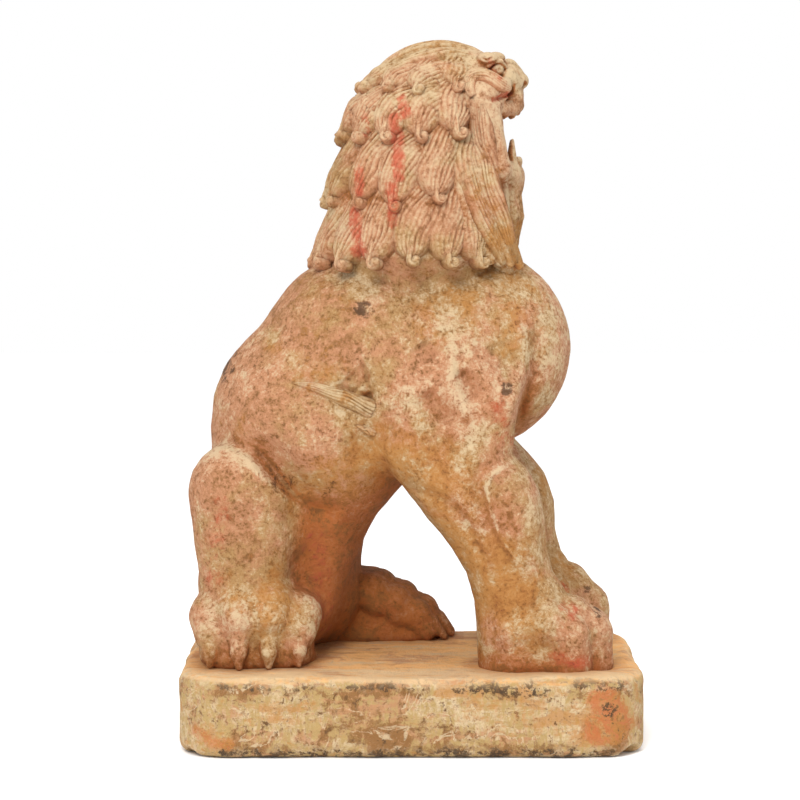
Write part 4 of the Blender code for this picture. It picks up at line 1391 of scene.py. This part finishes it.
# Noises of the plinth: clouds to dust, long strokes, upright hatching and veins, as for the stone,
# and last how much each is stretched
PLINTH_NOISES = (
    (13.0, 6.0, 0.62, 1.3),
    (42.0, 8.0, 0.70, 4.1, 0.5),
    (140.0, 7.0, 0.72, 6.7, 0.6),
    (380.0, 5.0, 0.72, 9.1),
    (70.0, 6.0, 0.66, 2.3, 0.4, (0.22, 1.0, 1.0)),
    (260.0, 5.0, 0.66, 8.3, 0.3, (1.0, 1.0, 0.25)),
    (24.0, 4.0, 0.55, 5.9, 1.2),
)


def plinth_finish(name):
    """Cream paint that flakes off stone, darker with painted shade and soiling at the edges and in the
    hollows, with painted shadow round the lion's feet and a painted highlight on the front edge.
    """
    colors = bpy.context.scene.lion_colors
    paint = Paint(name)
    broad, patch, fleck, dust, stroke, hatch, vein = (paint.noise(*row) for row in PLINTH_NOISES)
    hollow, cream = paint.mask("hollow"), paint.mask("cream")
    upward = paint.upward()
    breakup = patch * 0.55 + fleck * 0.50
    brick = paint.mix(0.45 + 0.5 * (patch + fleck).step(-0.5, 0.7), colors.vermilion, colors.ochre)

    reddened = broad + patch * 0.5 - stroke * 0.5
    top = paint.coat(colors.sand, colors.salmon, reddened, -0.3, 1.1, 0.7)
    bare = stroke * 0.6 + fleck * 0.25 + cream * 1.1
    top = paint.coat(top, colors.cream, bare, -0.15, 0.95, 0.66)
    top = paint.coat(top, colors.ochre, patch * 0.5 - stroke * 0.7, 0.15, 1.0, 0.30)
    # Painted shadow round the lion's feet on the top
    top = paint.mix(paint.mask("recess") * 0.35, top, colors.amber_earth_and_shade)

    chalky = broad * 0.4 + hatch * 0.5 + fleck * 0.4
    side = paint.mix(chalky.step(-0.45, 0.85), colors.paint, colors.cream)
    yellow = broad * 0.7 - patch * 0.5 - stroke * 0.5 + hatch * 0.25
    side = paint.coat(side, colors.ochre, yellow, 0.05, 0.95, 0.70)
    pink = stroke * 0.6 - broad * 0.8 + patch * 0.4 + hatch * 0.25
    side = paint.coat(side, colors.salmon, pink, 0.10, 0.90, 0.70)
    flaked = breakup - broad * 0.5 + hatch * 0.2 + paint.mask("patina") * 0.65 - cream * 0.35
    side = paint.coat(side, colors.patina, flaked, 0.10, 0.95, 0.85)
    scratch = (0.045 - vein * vein + fleck * 0.02).step(0.0, 0.045)
    side = paint.mix(scratch * (stroke + 0.2).step(0.0, 0.6) * 0.75, side, colors.cream)

    color = paint.mix(upward.step(0.45, 0.85), side, top)
    color = paint.coat(color, brick, paint.mask("vermilion") + breakup * 0.45, 0.35, 0.80, 0.82)
    color = paint.coat(color, colors.cream, fleck * 0.4 - hollow * 700.0, 0.2, 1.0, 0.55)
    # Soiling and painted shade in the hollows, weaker on the top
    color = paint.coat(color, colors.grime_and_shade, hollow * 520.0 + fleck * 0.3, 0.05, 1.0, 0.60 - 0.45 * upward)
    flakes = paint.mask("soot") + patch * 0.45 + fleck * 0.50 + dust * 0.25
    color = paint.coat(color, colors.soot, flakes, 0.55, 1.05, 0.90 - 0.86 * upward.clip())
    specks = fleck * 0.65 + dust * 0.65
    color = paint.coat(color, colors.patina, specks, 0.30, 0.95, 0.50 - 0.42 * upward)
    height = patch * 0.24 + fleck * 0.16 + hatch * 0.05 + dust * 0.06
    return paint.finish(color, 0.91 - 0.05 * patch, height, 0.85)


CAMERA_PLACE = (-0.0114, -2.7278, 0.5742)
CAMERA_PITCH = math.radians(4.789)
WHITE = (1.0, 1.0, 1.0)


class LION_OT_stage(bpy.types.Operator):
    """Set the pale floor, the soft lights and the camera."""

    bl_idname = "lion.stage"
    bl_label = "Stage"

    def execute(self, context):
        scene = context.scene
        stage = scene.lion_stage
        mesh = bpy.data.meshes.new("floor")
        mesh.from_pydata([(-6, -6, 0), (6, -6, 0), (6, 6, 0), (-6, 6, 0)], [], [(0, 1, 2, 3)])
        floor = bpy.data.objects.new("floor", mesh)
        scene.collection.objects.link(floor)
        floor.location.z = -0.0005
        paint = Paint("floor_paper")
        tone = paint.mix(paint.noise(3.0, 2.0) * 0.05, tuple(stage.floor), WHITE)
        paint.feed(paint.shader.inputs["Base Color"], tone)
        paint.shader.inputs["Roughness"].default_value = 0.9
        mesh.materials.append(paint.material)

        world = bpy.data.worlds.new("studio")
        world.use_nodes = True
        sky = world.node_tree.nodes["Background"]
        sky.inputs["Color"].default_value = (*WHITE, 1.0)
        sky.inputs["Strength"].default_value = stage.sky_strength
        scene.world = world

        self.add_light(scene, "key", (-0.6, -2.4, 2.0), (0.0, 0.0, 0.36), 1.1, stage.key_power)
        self.add_light(scene, "top", (0.4, -0.6, 2.4), (0.0, 0.0, 0.3), 1.8, stage.top_power)

        lens = bpy.data.cameras.new("camera")
        lens.lens = stage.lens
        lens.sensor_width = 36.0
        camera = bpy.data.objects.new("camera", lens)
        camera.location = CAMERA_PLACE
        camera.rotation_euler = (math.pi / 2 - CAMERA_PITCH, 0.0, 0.0)
        scene.collection.objects.link(camera)
        scene.camera = camera
        scene.view_settings.view_transform = "Standard"
        return {"FINISHED"}

    def add_light(self, scene, name, place, target, size, power):
        """Add a large soft light that faces a target."""
        light = bpy.data.lights.new(name, "AREA")
        light.shape = "DISK"
        light.size = size
        light.energy = power
        lamp = bpy.data.objects.new(name, light)
        lamp.location = place
        lamp.rotation_euler = (Vector(target) - Vector(place)).to_track_quat("-Z", "Y").to_euler()
        scene.collection.objects.link(lamp)


OPERATORS = (LION_OT_figure, LION_OT_face, LION_OT_mane, LION_OT_tufts, LION_OT_plinth, LION_OT_stage)


class LION_PT_panel(bpy.types.Panel):
    """List the steps that dress the lion."""

    bl_idname = "LION_PT_panel"
    bl_label = "Lion"
    bl_space_type = "VIEW_3D"
    bl_region_type = "UI"
    bl_category = "Lion"

    def draw(self, context):
        for operator in OPERATORS:
            self.layout.operator(operator.bl_idname)


CLASSES = (LionSizes, LionColors, LionStage, *OPERATORS, LION_PT_panel)


def register():
    """Register the classes and the settings."""
    for cls in CLASSES:
        bpy.utils.register_class(cls)
    bpy.types.Scene.lion_sizes = PointerProperty(type=LionSizes)
    bpy.types.Scene.lion_colors = PointerProperty(type=LionColors)
    bpy.types.Scene.lion_stage = PointerProperty(type=LionStage)


def unregister():
    """Remove the settings and the classes."""
    for name in ("lion_sizes", "lion_colors", "lion_stage"):
        delattr(bpy.types.Scene, name)
    for cls in reversed(CLASSES):
        bpy.utils.unregister_class(cls)


def main():
    """Register the settings and dress the lion."""
    register()
    bpy.ops.lion.stage()
    bpy.ops.lion.figure()
    bpy.ops.lion.face()
    bpy.ops.lion.mane()
    bpy.ops.lion.tufts()
    bpy.ops.lion.plinth()


if __name__ == "__main__":
    main()
